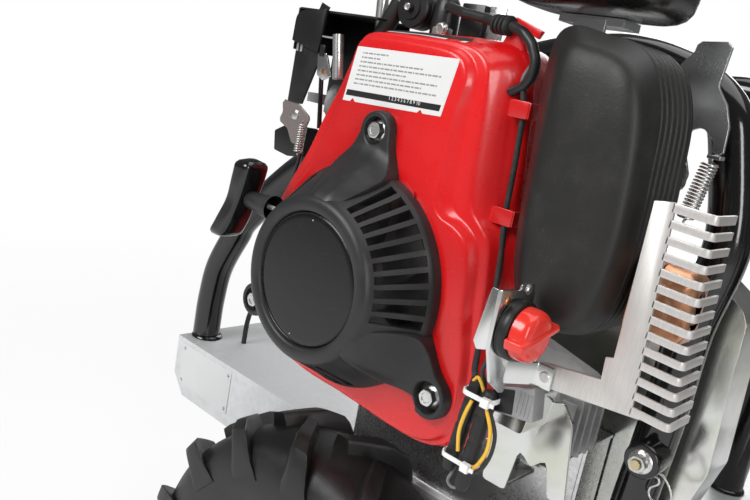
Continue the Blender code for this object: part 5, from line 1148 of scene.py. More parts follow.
def stop_switch():
    """Zinc bracket with its folded edge and bent foot, the switch's black collar and its red winged knob."""
    bracket = Piece("switch_bracket_sheet", "chassis")
    outline = filleted(mm((-16.8, 14.6, 1), (-16.8, 48.8, 0.8), (18, 46, 3), (18, 10, 4), (9, 5.5, 3),
        (9, -14.5, 2), (4, -13.5, 2), (-8, -5.5, 3)), 0.002, 5)
    bracket.add(slab(outline, 0.161, 0.163, "x", 0.00035), "pale zinc")
    flange = filleted(mm((161.2, 14.8), (161.2, 48.4), (156.5, 48.5), (152, 17), (155, 12.8)), 0.0012, 4)
    bracket.add(slab(flange, -0.0168, -0.015, "y", 0.0003), "pale zinc")
    bracket.add(block((0.1612, 0.003, 0.044), (0.1628, 0.0165, 0.05), 0.0007), "pale zinc")
    bracket.add(turned(mm((2.6, 0), (2.6, 1.2), (2, 1.9), (0, 2.1)), (0.1624, -0.01, 0.042), (1, 0, 0), 24),
        "copper")
    bracket.add(turned(mm((3, 0), (3, 1), (2.1, 1.8), (0, 2)), (0.1624, 0.01, 0.047), (1, 0, 0), 24), "bolt")
    foot = filleted(mm((161.6, 3), (162.4, 6.2), (172.6, 23.8), (182.5, 23.8)), 0.003, 5, False)
    bracket.add(ribbon(np.insert(foot, 2, -0.0012, 1), (0, 0, 1), 0.0135, 0.0018, 0.0003), "pale zinc")
    casting = filleted(mm((148.5, -18), (175.5, -8.5), (179, -29), (152.5, -33)), 0.0016, 4)
    bracket.add(slab(casting, 0.02, 0.033, "y", 0.0012), "cast")
    field = filleted(mm((150, -19), (164, -14.5), (165.5, -29.5), (153.5, -31.5)), 0.0008, 3)
    bracket.add(slab(field, 0.0194, 0.021, "y", 0.0003), "box")
    for k in range(4):
        bracket.add(block((0.1668 + 0.0026 * k, 0.0193, -0.0275), (0.168 + 0.0026 * k, 0.0205, -0.0135),
            0.0003), "cast")
    bracket.add(turned(mm((0, -0.5), (2.6, -0.4), (3.2, 0.2), (3, 9)), (0.178, 0.0226, -0.001), steps=24),
        "comb")
    bracket.make("zinc", ("switch_bracket",), 32.0)
    centre = (0.0, 0.0015, 0.0255)
    collar = Piece("switch_collar", "chassis")
    collar.add(tube(mm((4.5, 169.8), (15.6, 169.8), (16.4, 169.5), (16.9, 168.8), (17.1, 167.6), (17.1, 165),
        (16.6, 164.2), (17.1, 163.4), (5.5, 163.2), (5.5, 156.3), (4.5, 156.3)), centre, (1, 0, 0), 56),
        "box")
    collar.make("black_plastic", ("stop_switch_body",), 34.0)
    knob = Piece("winged_knob", "knob")
    knob.add(turned(mm((0, 181.1), (9, 181.1), (11.4, 180.8), (13.1, 180), (14.2, 178.6), (14.8, 176.5),
        (15, 174), (15, 170.6), (14.6, 170.1), (4, 170.1), (4, 159.3)), centre, (1, 0, 0), 64, last=False),
        "red knob")
    along = np.array((0.9727, 0.2319))
    square = np.array((-along[1], along[0]))
    rings = []
    for x, half, thick in mm((170.6, 18.4, 3), (171.2, 18.8, 3.3), (176, 18.8, 3.3), (180, 18.7, 3.2),
            (181.5, 18.2, 2.8), (182.1, 17.4, 2.1), (182.3, 16.8, 1.5)):
        outline = filleted([(-half, -thick * 0.75), (half, -thick * 0.62), (half, thick * 0.62),
            (-half, thick)], 0.0011, 4)
        flat = np.array((0.0015, 0.0257)) + outline[:, :1] * along + outline[:, 1:] * square
        rings.append(np.insert(flat, 0, x, 1))
    knob.add(grid(np.stack(rings)), "red knob")
    knob.make("red_plastic", ("stop_knob",), 34.0)


def tie(middle, level, half_x, half_y):
    """A nylon tie: its strap carried round a rounded rectangle, with the square head and the cut end."""
    x, y = middle
    loop = filleted(oblong(x, y, half_x, half_y), 0.9 * half_y, 6)
    path = np.insert(np.vstack([loop, loop[:2]]), 2, level, 1)
    head, low = x + half_x * 0.75, y - half_y
    return [ribbon(path, (0, 0, 1), 0.003, 0.001, 0.0003),
        block((head - 0.0026, low - 0.0034, level - 0.0028), (head + 0.003, low + 0.0006, level + 0.0028),
            0.0006),
        block((head + 0.0028, low - 0.002, level - 0.0013), (head + 0.006, low - 0.0008, level + 0.0013),
            0.0003)]


def connectors():
    """Two sleeved bullet connectors with ribbed ends, the ties round them, and the loose wires."""
    group = Piece("sleeved_connectors", "chassis")
    ends = (((0.1405, 0.018, -0.016), (0.133, 0.018, -0.08)),
        ((0.1515, 0.015, -0.02), (0.1465, 0.015, -0.086)))
    # radius of a sleeve at shares of its length: round ends, and grooves between its ribs
    share = (0, 0.02, 0.06, 0.2, 0.21, 0.24, 0.25, 0.46, 0.47, 0.5, 0.51, 0.7, 0.71, 0.74, 0.75, 0.94, 0.98,
        1.0)
    radius = (0.003, 0.0042, 0.0046, 0.0047, 0.0043, 0.0043, 0.0047, 0.0048, 0.0044, 0.0044, 0.0048, 0.0048,
        0.0044, 0.0044, 0.0047, 0.0046, 0.0042, 0.003)
    fine = np.linspace(0, 1, 61)
    for high, low in np.array(ends):
        group.add(swept(high + (low - high) * fine[:, None], np.interp(fine, share, radius), 20), "rubber")
    for level in (-0.025, -0.068):
        part = (level + 0.018) / -0.065
        left = ends[0][0][0] + (ends[0][1][0] - ends[0][0][0]) * part
        right = ends[1][0][0] + (ends[1][1][0] - ends[1][0][0]) * part
        for shape in tie((0.5 * (left + right), 0.0165), level, 0.5 * (right - left) + 0.0052, 0.0068):
            group.add(shape, "white")
    wires = (
        ("yellow", 0.0011,
            mm((150, 15, -26), (148, 12.5, -20), (145, 13, -18.5), (141.5, 15, -22.5), (139.5, 17, -27))),
        ("yellow", 0.0012, mm((145.2, 12, -33), (144, 9.5, -42), (142.5, 10, -54), (144, 11, -66))),
        ("yellow", 0.0012,
            mm((156, 12, -34), (162, 11, -44), (163.2, 10.8, -56), (160, 11, -66), (156, 12, -72))),
        ("black wire", 0.0012,
            mm((157.5, 13, -34), (164.5, 12.5, -45), (165.5, 12.2, -57), (162.5, 12, -68), (158, 13, -74))),
        ("black wire", 0.0013,
            mm((159, 2, 18), (157, 1, 4), (150, 8, -11), (149, 15.5, -21), (150.2, 15, -29))),
        ("grey wire", 0.001, mm((139.5, 18, -79), (139, 18, -85), (137, 18.5, -91.5), (140, 19, -94.5),
            (144, 18.5, -92.5), (146, 17, -85), (150, 15.5, -80))))
    for colour, radius, points in wires:
        points = np.array(points) + np.array((-0.0028, 0.0, 0.004))
        group.add(swept(smooth(points, 48), radius, 10), colour)
    group.make("soft_rubber", ("wire_connectors",), 40.0)


def stop_wire():
    """The braided stop wire under its two clips, following the CAD wire's own bends."""
    path = filleted(mm((95.5, 66, 152), (98.5, 65, 144), (101, 64.5, 133), (102.8, 64.5, 105),
        (104.2, 64, 76.5), (106.5, 63.5, 58), (110, 62, 38), (114, 57, 22), (121.5, 40, -3), (132, 24, -15),
        (138.5, 18, -20.4), (138.5, 18, -23.6)), 0.02, 10, False)
    wire = Piece("braided_stop_wire", "chassis")
    wire.add(swept(smooth(path, 150), 0.002, 14), "sleeve")
    wire.add(swept(smooth(mm((93.5, 66.2, 154.8), (95, 65, 160), (95, 70, 166)), 16), 0.0012, 10),
        "grey wire")
    wire.make("black_plastic", ("stop_wire",), 50.0)


def plug_lead(sizes):
    """Spark plug lead as a cord from its cap over the shroud's shoulder, its ribbed grommet and the cap."""
    path = smooth(filleted(mm((-11, 110.3, 200), (6, 90, 198), (28, 80, 194), (48, 78, 192), (64, 74, 188.8),
        (76, 70, 188.2), (87, 66.5, 185), (95.5, 65.5, 178.5), (100.8, 65, 169), (100.8, 65, 160),
        (96, 65.5, 153), (88, 67, 148.7), (82, 69, 148)), 0.01, 6, False), 160)
    lead = Piece("plug_lead", "chassis")
    lead.add(swept(path, sizes.lead_radius, 20), "lead")
    lead.make("soft_rubber", ("ignition_lead",), 50.0)
    boot = Piece("lead_boot_and_cap", "chassis")
    t = np.linspace(0, 1, 81)
    ribs = 0.0046 + 0.0018 * np.clip(np.sin(t * TAU * 4 - 1.2) * 1.8 + 0.4, 0, 1)
    start, end = np.array((0.059, 0.075, 0.189)), np.array((0.0745, 0.0704, 0.1883))
    boot.add(swept(start + (end - start) * t[:, None], ribs, 32), "lead")
    boot.add(turned(mm((10.6, 160), (10.6, 189), (10.2, 196), (9, 204), (6.6, 207.8), (0, 208.4)),
        (-0.0178, 0.118, 0.0), (0, 0, 1), 40), "lead")
    boot.add(turned(mm((11.8, 160.5), (12, 164), (11.2, 166)), (-0.0178, 0.118, 0.0), (0, 0, 1), 40), "lead")
    boot.make("soft_rubber", ("lead_grommet", "spark_plug_cap"), 44.0)


def spring(name, start, end, radius, turns, node):
    """A close-wound tension spring of 1.6 mm wire with its end hooks, in place of a node."""
    coil = Piece(name, "chassis")
    coil.add(swept(helix(start, end, radius, turns), 0.0008, 8), "spring")
    coil.make(SLOT_OF[node], (node,), 60.0)


# Chassis and running gear

# Centre line (x, z) in metres of both hoops, from the front foot over the engine to the rear foot
HOOP_LINE = np.array(((-356.8, -202.7), (-356.8, -185), (-355.9, -154), (-349, -113), (-327, -69),
    (-308, -39), (-230, 35), (-110, 115), (10, 172), (72, 188), (107, 189), (137, 183), (157, 175),
    (175, 160), (185, 138), (199, 76), (191, 10), (190, -57), (186, -131), (184, -185),
    (184, -202.7))) / 1000.0


def hoops(sizes):
    """The two black tube hoops with their feet, and the near hoop's boss, flange bolt and hairpin clip."""
    line = smooth(HOOP_LINE, 220)
    for side, name in ((-1, "near"), (1, "far")):
        y = side * 0.135 + 0.335
        hoop = Piece(f"tube_hoop_{name}", "chassis")
        path = np.insert(line, 1, y, 1)
        hoop.add(swept(path, sizes.hoop_radius, 32, lift=(0, 1, 0)), "gloss black")
        for x in (-0.3545, 0.184):
            hoop.add(turned(mm((16.1, 0), (18.5, 0.4), (17.8, 2.2), (16.1, 3.6)), (x, y, -0.2028), (0, 0, 1),
                40), "gloss black")
        if side < 0:
            centre = (0.1935, 0.0, -0.086)
            hoop.add(turned(mm((12.2, 169), (13, 169.7), (13.4, 172), (13.4, 185), (13, 192)), centre,
                steps=40), "gloss black")
            hoop.add(turned(mm((9.5, 168.6), (12.2, 169)), centre, steps=40), "gloss black")
            hoop.add(hex_bolt((0.1935, 0.169, -0.086), (0, -1, 0), 0.0118, 0.0085, flange=0.0088), "bolt")
            clip = mm((199, 183, -93), (208, 183.5, -96), (215, 184, -105), (215, 184, -113),
                (208, 184, -118), (201, 184, -114), (200, 184, -108), (205, 183.8, -102), (203, 183.5, -98),
                (198, 183.2, -99))
            hoop.add(swept(smooth(clip, 60), 0.001, 10), "spring")
            hoop.add(turned(mm((3.4, 160.2), (3.8, 158.8), (3.6, 158.1), (0, 158)), centre, steps=24),
                "yellow bolt")
        hoop.make("black_paint", (f"hoop_{name}",), 40.0)


AXLE = (-0.317, 0.201)  # x and z of the wheels' axle
TRACK = 0.229  # distance of a wheel's middle plane from the chassis's own
WHEEL_HALF = 0.05  # half the width of a tyre and its rim


def tyre(name, side, sizes):
    """A chunky lugged tyre: the casing's profile turned round the axle, and lugs whose section is a tapered
    block carried from the shoulder to the middle along a curve that lags behind as it comes inwards."""
    middle, half, crown = side * TRACK, WHEEL_HALF, 0.19
    centre = (AXLE[0], middle, AXLE[1])
    made = Piece(f"lugged_tyre_{name}", "wheelset", CHASSIS)
    # the casing as (radius, share of the half width), from its bead to the middle of the tread
    casing = [(0.1005, -0.34), (0.102, -0.46), (0.106, -0.6), (0.115, -0.8), (0.127, -0.93), (0.142, -0.985),
        (0.156, -0.965), (0.169, -0.905), (0.178, -0.8), (0.1835, -0.66), (0.187, -0.42), (0.1885, -0.16)]
    profile = [(r, half * v) for r, v in casing] + [(r, -half * v) for r, v in casing[::-1]]
    made.add(tube(profile, centre, steps=120), "tyre")
    for r, v in ((0.1075, 0.66), (0.123, 0.915)):
        for hand in (-1, 1):
            made.add(tube([(r - 0.0012, hand * half * v * 0.985), (r, hand * half * v * 1.028),
                (r + 0.0012, hand * half * v * 1.01)], centre, steps=120), "tyre")
    v = np.linspace(0, 1, 14)[:, None]  # from the shoulder's foot to the middle of the tread
    across = np.interp(v, (0, 0.12, 0.3, 0.55, 1.0), (0.985, 0.975, 0.86, 0.6, -0.04))
    foot = np.interp(v, (0, 0.12, 0.3, 0.55, 1.0), (0.156, 0.164, 0.177, 0.185, 0.188))
    top = foot + np.interp(v, (0, 0.1, 0.22, 0.34, 1.0),
        (0.0006, 0.009, 0.017, 0.0165, 0.0125)) * sizes.lug_height / LUG
    top = np.minimum(top, crown + sizes.lug_height)
    lag = 0.215 * v ** 1.25 - 0.035
    wide = np.interp(v, (0, 0.2, 0.6, 1.0), (0.0165, 0.015, 0.0118, 0.01))
    taper = np.interp(v, (0, 1), (0.0052, 0.0036))
    # section: foot, side, chamfer, top, chamfer, side, foot as (share of the width, share of the height)
    section = np.array(((-1, 0), (-1, 0.18), (-1, 0.8), (-1, 0.93), (-1, 1.0), (-0.35, 1.0), (0.35, 1.0),
        (1, 1.0), (1, 0.93), (1, 0.8), (1, 0.18), (1, 0)))
    narrow = np.interp(section[:, 1], (0, 0.8, 0.93, 1.0), (0, 0.72, 0.86, 1.16))[None]
    reach = (foot - 0.004) + (top - foot + 0.004) * section[None, :, 1]
    sideways = np.sign(section[None, :, 0]) * (wide - taper * narrow) * np.abs(section[None, :, 0])
    for k in range(sizes.lug_count):
        for row in (-1, 1):
            turn = TAU * (k + (0.25 if row > 0 else -0.25)) / sizes.lug_count
            angle = turn - side * lag + sideways / reach
            points = np.stack([AXLE[0] + reach * np.cos(angle),
                np.broadcast_to(middle + row * half * across, angle.shape),
                AXLE[1] + reach * np.sin(angle)], -1)
            made.add(grid(points), "tyre")
    made.make("tyre_rubber", (f"tyre_{name}",), 34.0, bevel=0.0007)


def rims():
    """Pressed rims with their welded disc, rolled bead, hub, five nuts and valve."""
    for side, name in ((-1, "near"), (1, "far")):
        middle = (AXLE[0], side * TRACK, AXLE[1])
        rim = Piece(f"pressed_rim_{name}", "wheelset", CHASSIS)
        # the rim and its disc as (radius, share of the half width), from the hub outwards and back
        profile = [(0.0106, -0.6), (0.0215, -0.6), (0.022, -0.56), (0.022, -0.1), (0.03, -0.07),
            (0.042, -0.13), (0.06, -0.17), (0.074, -0.1), (0.084, -0.14), (0.0885, -0.2), (0.0905, -0.5),
            (0.093, -0.6), (0.0975, -0.62), (0.0995, -0.58), (0.0998, -0.5), (0.0975, -0.44), (0.096, -0.2),
            (0.0955, 0.2), (0.0975, 0.44), (0.0998, 0.5), (0.099, 0.56), (0.095, 0.585), (0.0915, 0.5),
            (0.0895, 0.2), (0.086, -0.02), (0.074, 0.0), (0.06, -0.06), (0.042, -0.02), (0.03, 0.03),
            (0.022, 0.1), (0.022, 0.56), (0.0215, 0.6), (0.0106, 0.6)]
        rows = [(r, side * v * WHEEL_HALF) for r, v in profile]
        rim.add(tube(rows, middle, steps=96), "gloss black")
        for k in range(5):
            turn = TAU * k / 5 + 0.3
            seat = (middle[0] + 0.051 * math.cos(turn), middle[1] + side * 0.0065,
                middle[2] + 0.051 * math.sin(turn))
            rim.add(hex_bolt(seat, (0, side, 0), 0.013, 0.0075, washer=0.0088), "bolt")
        seat = (middle[0] + 0.083 * math.cos(2.0), middle[1] + side * 0.002,
            middle[2] + 0.083 * math.sin(2.0))
        rim.add(turned(mm((4.8, 0), (4.2, 6), (2.8, 10), (2.6, 22), (3.4, 22.5), (3.4, 30), (0, 31)), seat,
            (0, side, 0), 20), "rubber")
        rim.make("black_paint", (f"rim_{name}",), 36.0)


def deck_details():
    """The folded deck with rounded folds, the engine's plate, and the bare type plate with its four
    rivets."""
    finished(("deck", "deck", 0.0016, 30.0, 3), ("engine_plate", "sheet", 0.001, 30.0))
    plate = Piece("bare_type_plate", "chassis", CHASSIS)
    x0, x1, y = -0.64, -0.545, -0.165
    outline = filleted([(x0, 0.3), (x1, 0.3), (x1, 0.35), (x0, 0.35)], 0.002, 4)
    plate.add(slab(outline, y - 0.0007, y + 0.0002, "y", 0.0001, 2), "plate")
    for x in (x0 + 0.005, x1 - 0.005):
        for z in (0.305, 0.345):
            plate.add(turned(mm((0, 1.6), (1.2, 1.4), (2, 0.4), (2.1, -0.2)), (x, y - 0.0006, z), (0, -1, 0),
                16), "bolt")
    plate.make("zinc", (), 30.0)


# Name, place, aim and size in metres of each lamp, and its share of the key light's power
LAMPS = (("key softbox", (-0.9, -2.2, 2.1), (-0.2, -0.2, 0.55), (1.5, 1.1), 1.0),
    ("side strip", (1.9, -1.5, 1.3), (-0.1, -0.2, 0.55), (0.5, 1.6), 0.45),
    ("top fill", (0.2, 0.3, 2.7), (0.0, 0.0, 0.4), (2.4, 2.0), 0.6),
    ("back fill", (-1.2, 2.3, 1.6), (0.0, 0.0, 0.5), (1.8, 1.4), 0.45))
WHITE = (1.0, 1.0, 1.0, 1.0)


def pale_floor(colour):
    """A wide matt floor that the camera sees fading into white, and reflections see partly white."""
    floor = Paint("pale floor")
    camera, glossy = floor.outputs("ShaderNodeLightPath", "Is Camera Ray", "Is Glossy Ray")
    seen = camera + glossy * 0.35
    tone = floor.blend(floor.noise(3.0, 3.0) * 0.04, colour, shaded(colour, 0.97))
    floor.done(Base_Color=tone, Roughness=0.9, Specular_IOR_Level=0.0)
    glow = floor.node("ShaderNodeEmission", None, {"Color": WHITE, "Strength": 1.0})
    x, y, _ = floor.split()
    away = ((x * x + y * y) ** 0.5).step(1.1, 2.6)
    matt = Tone(floor, floor.shader.outputs[0])
    mixed = floor.node("ShaderNodeMixShader", None,
        {0: seen.step(0.0, 1.0) * (0.8 + away * 0.2), 1: matt, 2: glow})
    floor.feed(floor.tree.nodes["Material Output"], {"Surface": mixed})
    mesh = bpy.data.meshes.new("floor")
    side = np.linspace(-9, 9, 5)
    points, quads, _ = grid(np.stack(np.meshgrid(side, side, [-0.0002], indexing="ij"), -1).reshape(5, 5, 3),
        around=False)
    mesh.from_pydata(points.tolist(), [], quads.tolist())
    mesh.flip_normals()
    mesh.materials.append(floor.material)
    ground = bpy.data.objects.new("floor", mesh)
    bpy.context.scene.collection.objects.link(ground)


def surroundings():
    """A world that the camera and clear surfaces see as white, while its light on the machine is weak."""
    world = bpy.data.worlds.new("white surroundings")
    bpy.context.scene.world = world
    sky = Nodes(world)
    light = sky.tree.nodes["Background"]
    sky.feed(light, {"Color": WHITE, "Strength": 0.15})
    white = sky.node("ShaderNodeBackground", None, {"Color": WHITE, "Strength": 1.0})
    camera, clear = sky.outputs("ShaderNodeLightPath", "Is Camera Ray", "Is Transmission Ray")
    seen = sky.node("ShaderNodeMath", {"operation": "MAXIMUM"}, {0: camera, 1: clear})
    mixed = sky.node("ShaderNodeMixShader", None, {0: seen, 1: Tone(sky, light.outputs[0]), 2: white})
    sky.feed(sky.tree.nodes["World Output"], {"Surface": mixed})


def lamps(power):
    """The soft lamps, each turned to its aim."""
    for name, place, aim, size, share in LAMPS:
        lamp = bpy.data.lights.new(name, "AREA")
        lamp.shape, lamp.size, lamp.size_y, lamp.energy = "RECTANGLE", size[0], size[1], power * share
        shown = bpy.data.objects.new(name, lamp)
        shown.location = place
        shown.rotation_euler = (Vector(aim) - Vector(place)).to_track_quat("-Z", "Y").to_euler()
        bpy.context.scene.collection.objects.link(shown)


def photo_camera():
    """The camera as it was solved from the photograph: its heading, rise and roll, and its place in
    metres."""
    scene = bpy.context.scene
    lens = bpy.data.cameras.new("camera")
    lens.lens, lens.sensor_width, lens.clip_start = 37.44, 36.0, 0.02
    turn, rise, roll = (math.radians(degrees) for degrees in (40.7, 13.0, 10.75))
    right = Vector((math.cos(turn), math.sin(turn), 0.0))
    back = Vector((math.sin(turn) * math.cos(rise), -math.cos(turn) * math.cos(rise), math.sin(rise)))
    up = back.cross(right)
    side = math.cos(roll) * right + math.sin(roll) * up
    top = math.cos(roll) * up - math.sin(roll) * right
    eye = (0.0405, -0.6682, 0.707)
    camera = bpy.data.objects.new("camera", lens)
    camera.matrix_world = Matrix([(side[k], top[k], back[k], eye[k]) for k in range(3)]
        + [(0.0, 0.0, 0.0, 1.0)])
    scene.collection.objects.link(camera)
    scene.camera = camera
    scene.view_settings.view_transform = "Standard"


def stage(look):
    """Pale floor, white surroundings for camera and reflections, soft lamps, and the camera."""
    pale_floor(tuple(look.floor_colour))
    surroundings()
    lamps(look.key_power)
    photo_camera()


# Pieces whose CAD form is kept and finished

def engine_block():
    """Crankcase, cylinder, rocker cover, crankshaft, carburettor and the zinc bracket."""
    finished(("crankcase", "cast", 0.0016, 34.0), ("cylinder", "cast", 0.0004, 34.0),
        ("rocker_cover", "satin black", 0.0016, 40.0), ("crankshaft", "bright", 0.0004, 40.0),
        ("carburettor", "cast", 0.0006, 38.0), ("support_bracket", "passivated", 0.001, 30.0))


def tank():
    """Moulded fuel tank, its plan a rounded rectangle that is drawn in by each row's distance, with the
    welded seam's lip and the filler neck; the fuel cap and the tank's post."""
    shell = Piece("moulded_tank", "chassis")
    plan = filleted(mm((52, 62), (168, 62), (168, 150), (52, 150)), 0.036, 14)
    rows = mm((204.6, 22), (205.2, 16), (206.8, 10), (209.5, 5.5), (214, 2.4), (220, 1), (226.2, 0.6),
        (226.8, 0), (227.2, -2.4), (228, -3), (229.8, -3), (230.6, -2.4), (231, 0), (231.6, 0.6), (250, 1.6),
        (268, 3.4), (276, 6), (281.5, 10.5), (284.5, 17), (285.8, 26), (286, 34))
    shell.add(grid(np.stack([np.insert(inset(plan, draw), 2, level, 1) for level, draw in rows])), "tank")
    shell.add(turned(mm((20, 280), (20, 288), (19, 288.6), (19, 295), (18, 296)), (0.105, 0.119, 0.0),
        (0, 0, 1), 48), "tank")
    shell.make(SLOT_OF["fuel_tank"], ("fuel_tank",), 44.0)
    finished(("fuel_cap", "box", 0.0008, 38.0), ("tank_bracket", "lever", 0.0006, 30.0))


def box_of_controls():
    """The bent cover of the controls with its roof flap, its strip, the plated post with its riveted
    bracket, the black case below and the rods."""
    made = Piece("cover_box_of_controls", "chassis")
    shell = filleted(mm((-155.5, 157, 0.5), (-154.5, 181.5, 10), (-118.5, 186.2, 1), (-121.5, 150.5, 0.5)),
        0.001, 8)
    made.add(slab(shell, 0.09, 0.093, "y", 0.0006), "satin black")
    roof = filleted(mm((-155.5, 92.5), (-64, 92.5), (-70, 142), (-155.5, 148)), 0.004, 5)
    made.add(slab(roof, 0.1835, 0.185, "z", 0.0003), "satin black")
    made.add(block((-0.1555, 0.0925, 0.15), (-0.154, 0.148, 0.1845)), "satin black")
    made.add(block((-0.1555, 0.14, 0.1), (-0.072, 0.142, 0.1845)), "box")
    made.add(slab(np.array(((-0.129, 0.1845), (-0.118, 0.185), (-0.117, 0.1875), (-0.1265, 0.1905))), 0.091,
        0.0922, "y", 0.0002), "satin black")
    strip = mm((-151.5, 157), (-118, 153), (-134, 106.2), (-152, 106.4))
    made.add(slab(filleted(strip, 0.0012, 3), 0.0925, 0.0945, "y", 0.0004), "box")
    for x in (-0.1498, -0.145):
        made.add(block((x, 0.0912, 0.149), (x + 0.0026, 0.0926, 0.16), 0.0004), "bolt")
    made.add(swept(mm((-101, 90.5, 167), (-97, 90.5, 150), (-93, 90.5, 133)), 0.0046, 24), "bolt")
    made.add(block((-0.119, 0.0895, 0.1635), (-0.099, 0.0925, 0.165)), "bolt")
    bracket = mm((-118.5, 150), (-108.5, 151.5), (-99, 134), (-108.5, 129.5), (-116, 133))
    made.add(slab(filleted(bracket, 0.0012, 4), 0.088, 0.0895, "y", 0.0003), "pale zinc")
    made.add(turned(mm((0, -1), (1.8, -0.9), (2.6, 0)), (-0.1085, 0.088, 0.1365), steps=24), "copper")
    made.add(block((-0.1165, 0.0872, 0.148), (-0.111, 0.0895, 0.1575), 0.0006), "box")
    case = mm((-169, 78), (-156, 85), (-131, 87), (-126, 62), (-148, 59), (-166, 61))
    made.add(slab(filleted(case, 0.002, 4), 0.0975, 0.115, "y", 0.001), "box")
    for start, end, radius in (((-0.1185, 0.093, 0.15), (-0.111, 0.096, 0.09), 0.002),
            ((-0.1282, 0.096, 0.064), (-0.135, 0.096, 0.03), 0.0017)):
        made.add(swept(np.linspace(start, end, 5), radius, 12), "gloss black")
    made.add(turned(mm((0, -1.6), (3, -1.4), (4.2, -0.8), (4.2, 0.4), (2.2, 0.6), (2.2, 4)),
        (-0.14, 0.0932, 0.0963), steps=32), "bolt")
    made.make(SLOT_OF["control_box"], ("control_box",), 34.0)


def head_details():
    """What shows over the shroud: the throttle's round housing, hose, plated posts and clamp beside the
    plug."""
    made = Piece("throttle_housing_and_posts", "chassis")
    made.add(turned(mm((0, 101), (3.4, 101.2), (3.8, 103.4), (8.5, 103.6), (9, 105), (14, 105.2), (15, 106.4),
        (15, 111), (14.2, 111.8), (15, 112.6), (15, 121), (0, 121.4)), (-0.042, 0.0, 0.196), steps=48), "box")
    made.add(hex_bolt((-0.042, 0.1012, 0.196), (0, -1, 0), 0.0052, 0.0022), "bolt")
    made.add(swept(mm((-79, 112, 164), (-70, 112, 182), (-61, 113, 201)), 0.007, 24), "rubber")
    made.add(swept(mm((-81, 120, 164), (-85, 120, 183), (-87, 120, 201)), 0.005, 20), "bolt")
    made.add(block((-0.018, 0.104, 0.176), (-0.004, 0.112, 0.185), 0.0015), "bolt")
    made.add(hex_bolt((-0.008, 0.104, 0.183), (0, -1, 0), 0.008, 0.004, flange=0.0054), "bolt")
    made.add(block((0.003, 0.108, 0.16), (0.0235, 0.118, 0.204), 0.0012), "satin black")
    made.add(block((0.025, 0.112, 0.16), (0.039, 0.1134, 0.204), 0.0005), "sheet")
    made.make("black_plastic", (), 34.0)


def controls():
    """Box of the controls, throttle arm, belt-tension lever, their springs and the control cable."""
    box_of_controls()
    head_details()
    spring("governor_pull_spring", (-0.1235, 0.0888, 0.094), (-0.1245, 0.0888, 0.064), 0.0034, 12,
        "governor_spring")
    spring("belt_tension_spring", (0.1925, 0.1442, 0.1312), (0.1855, 0.1442, 0.088), 0.0048,
        bpy.context.scene.cable_layer_engine.spring_turns, "tension_spring")
    finished(("throttle_arm", "arm", 0.0004, 30.0), ("tension_lever", "lever", 0.0005, 30.0),
        ("control_cable", "rubber", 0.0, 60.0))


def drive():
    """Belt cover, pulley, belt, chain case and axle."""
    finished(("belt_cover", "passivated", 0.001, 30.0), ("drive_pulley", "cast", 0.0005, 38.0),
        ("drive_belt", "rubber", 0.0008, 40.0), ("chain_case", "gloss black", 0.0012, 38.0),
        ("axle", "bright", 0.0008, 40.0))


def rear_unit():
    """Rear frame, trench blade with its guide tube, press wheel and reel."""
    finished(("rear_frame", "gloss black", 0.001, 36.0), ("trench_blade", "soil steel", 0.0008, 34.0),
        ("press_wheel", "cast dark", 0.0012, 38.0), ("cable_reel", "reel", 0.0008, 38.0))


def handles():
    """Handlebar, its grips and the two hand levers."""
    finished(("handlebar", "gloss black", 0.0006, 44.0), ("grip_near", "grip", 0.001, 44.0),
        ("grip_far", "grip", 0.001, 44.0), ("clutch_lever", "satin black", 0.0008, 38.0),
        ("throttle_lever", "satin black", 0.0008, 38.0))


# Operators and panel

class CABLE_LAYER_OT_starter(bpy.types.Operator):
    """Starter cover with its grille, bare badge, flange bolts, fan, rope drum and pull handle"""
    bl_idname = "cable_layer.starter"
    bl_label = "Starter"

    def execute(self, context):
        sizes = context.scene.cable_layer_engine
        starter_cover(sizes)
        badge(sizes)
        cover_bolts()
        fan_and_drum()
        recoil_grip()
        return {"FINISHED"}


class CABLE_LAYER_OT_shroud(bpy.types.Operator):
    """Red fan shroud with its lug, clips and label places"""
    bl_idname = "cable_layer.shroud"
    bl_label = "Fan shroud"

    def execute(self, context):
        engine_shroud()
        return {"FINISHED"}


class CABLE_LAYER_OT_silencer(bpy.types.Operator):
    """Silencer, its ribbed cover and the stainless comb"""
    bl_idname = "cable_layer.silencer"
    bl_label = "Silencer and guards"

    def execute(self, context):
        sizes = context.scene.cable_layer_engine
        silencer_cover(sizes)
        silencer()
        comb_guard(sizes)
        return {"FINISHED"}


class CABLE_LAYER_OT_wiring(bpy.types.Operator):
    """Stop switch, connectors with ties, braided stop wire and spark plug lead"""
    bl_idname = "cable_layer.wiring"
    bl_label = "Switch and wiring"

    def execute(self, context):
        stop_switch()
        connectors()
        stop_wire()
        plug_lead(context.scene.cable_layer_engine)
        return {"FINISHED"}


class CABLE_LAYER_OT_engine_block(bpy.types.Operator):
    """Crankcase, cylinder, carburettor and the engine's brackets"""
    bl_idname = "cable_layer.engine_block"
    bl_label = "Engine block"

    def execute(self, context):
        engine_block()
        return {"FINISHED"}


class CABLE_LAYER_OT_tank(bpy.types.Operator):
    """Fuel tank, cap and post"""
    bl_idname = "cable_layer.tank"
    bl_label = "Fuel tank"

    def execute(self, context):
        tank()
        return {"FINISHED"}


class CABLE_LAYER_OT_controls(bpy.types.Operator):
    """Control box, throttle arm, belt-tension lever, springs and control cable"""
    bl_idname = "cable_layer.controls"
    bl_label = "Controls"

    def execute(self, context):
        controls()
        return {"FINISHED"}


class CABLE_LAYER_OT_chassis(bpy.types.Operator):
    """Galvanised deck, engine plate and tube hoops"""
    bl_idname = "cable_layer.chassis"
    bl_label = "Deck and hoops"

    def execute(self, context):
        deck_details()
        hoops(context.scene.cable_layer_chassis)
        return {"FINISHED"}


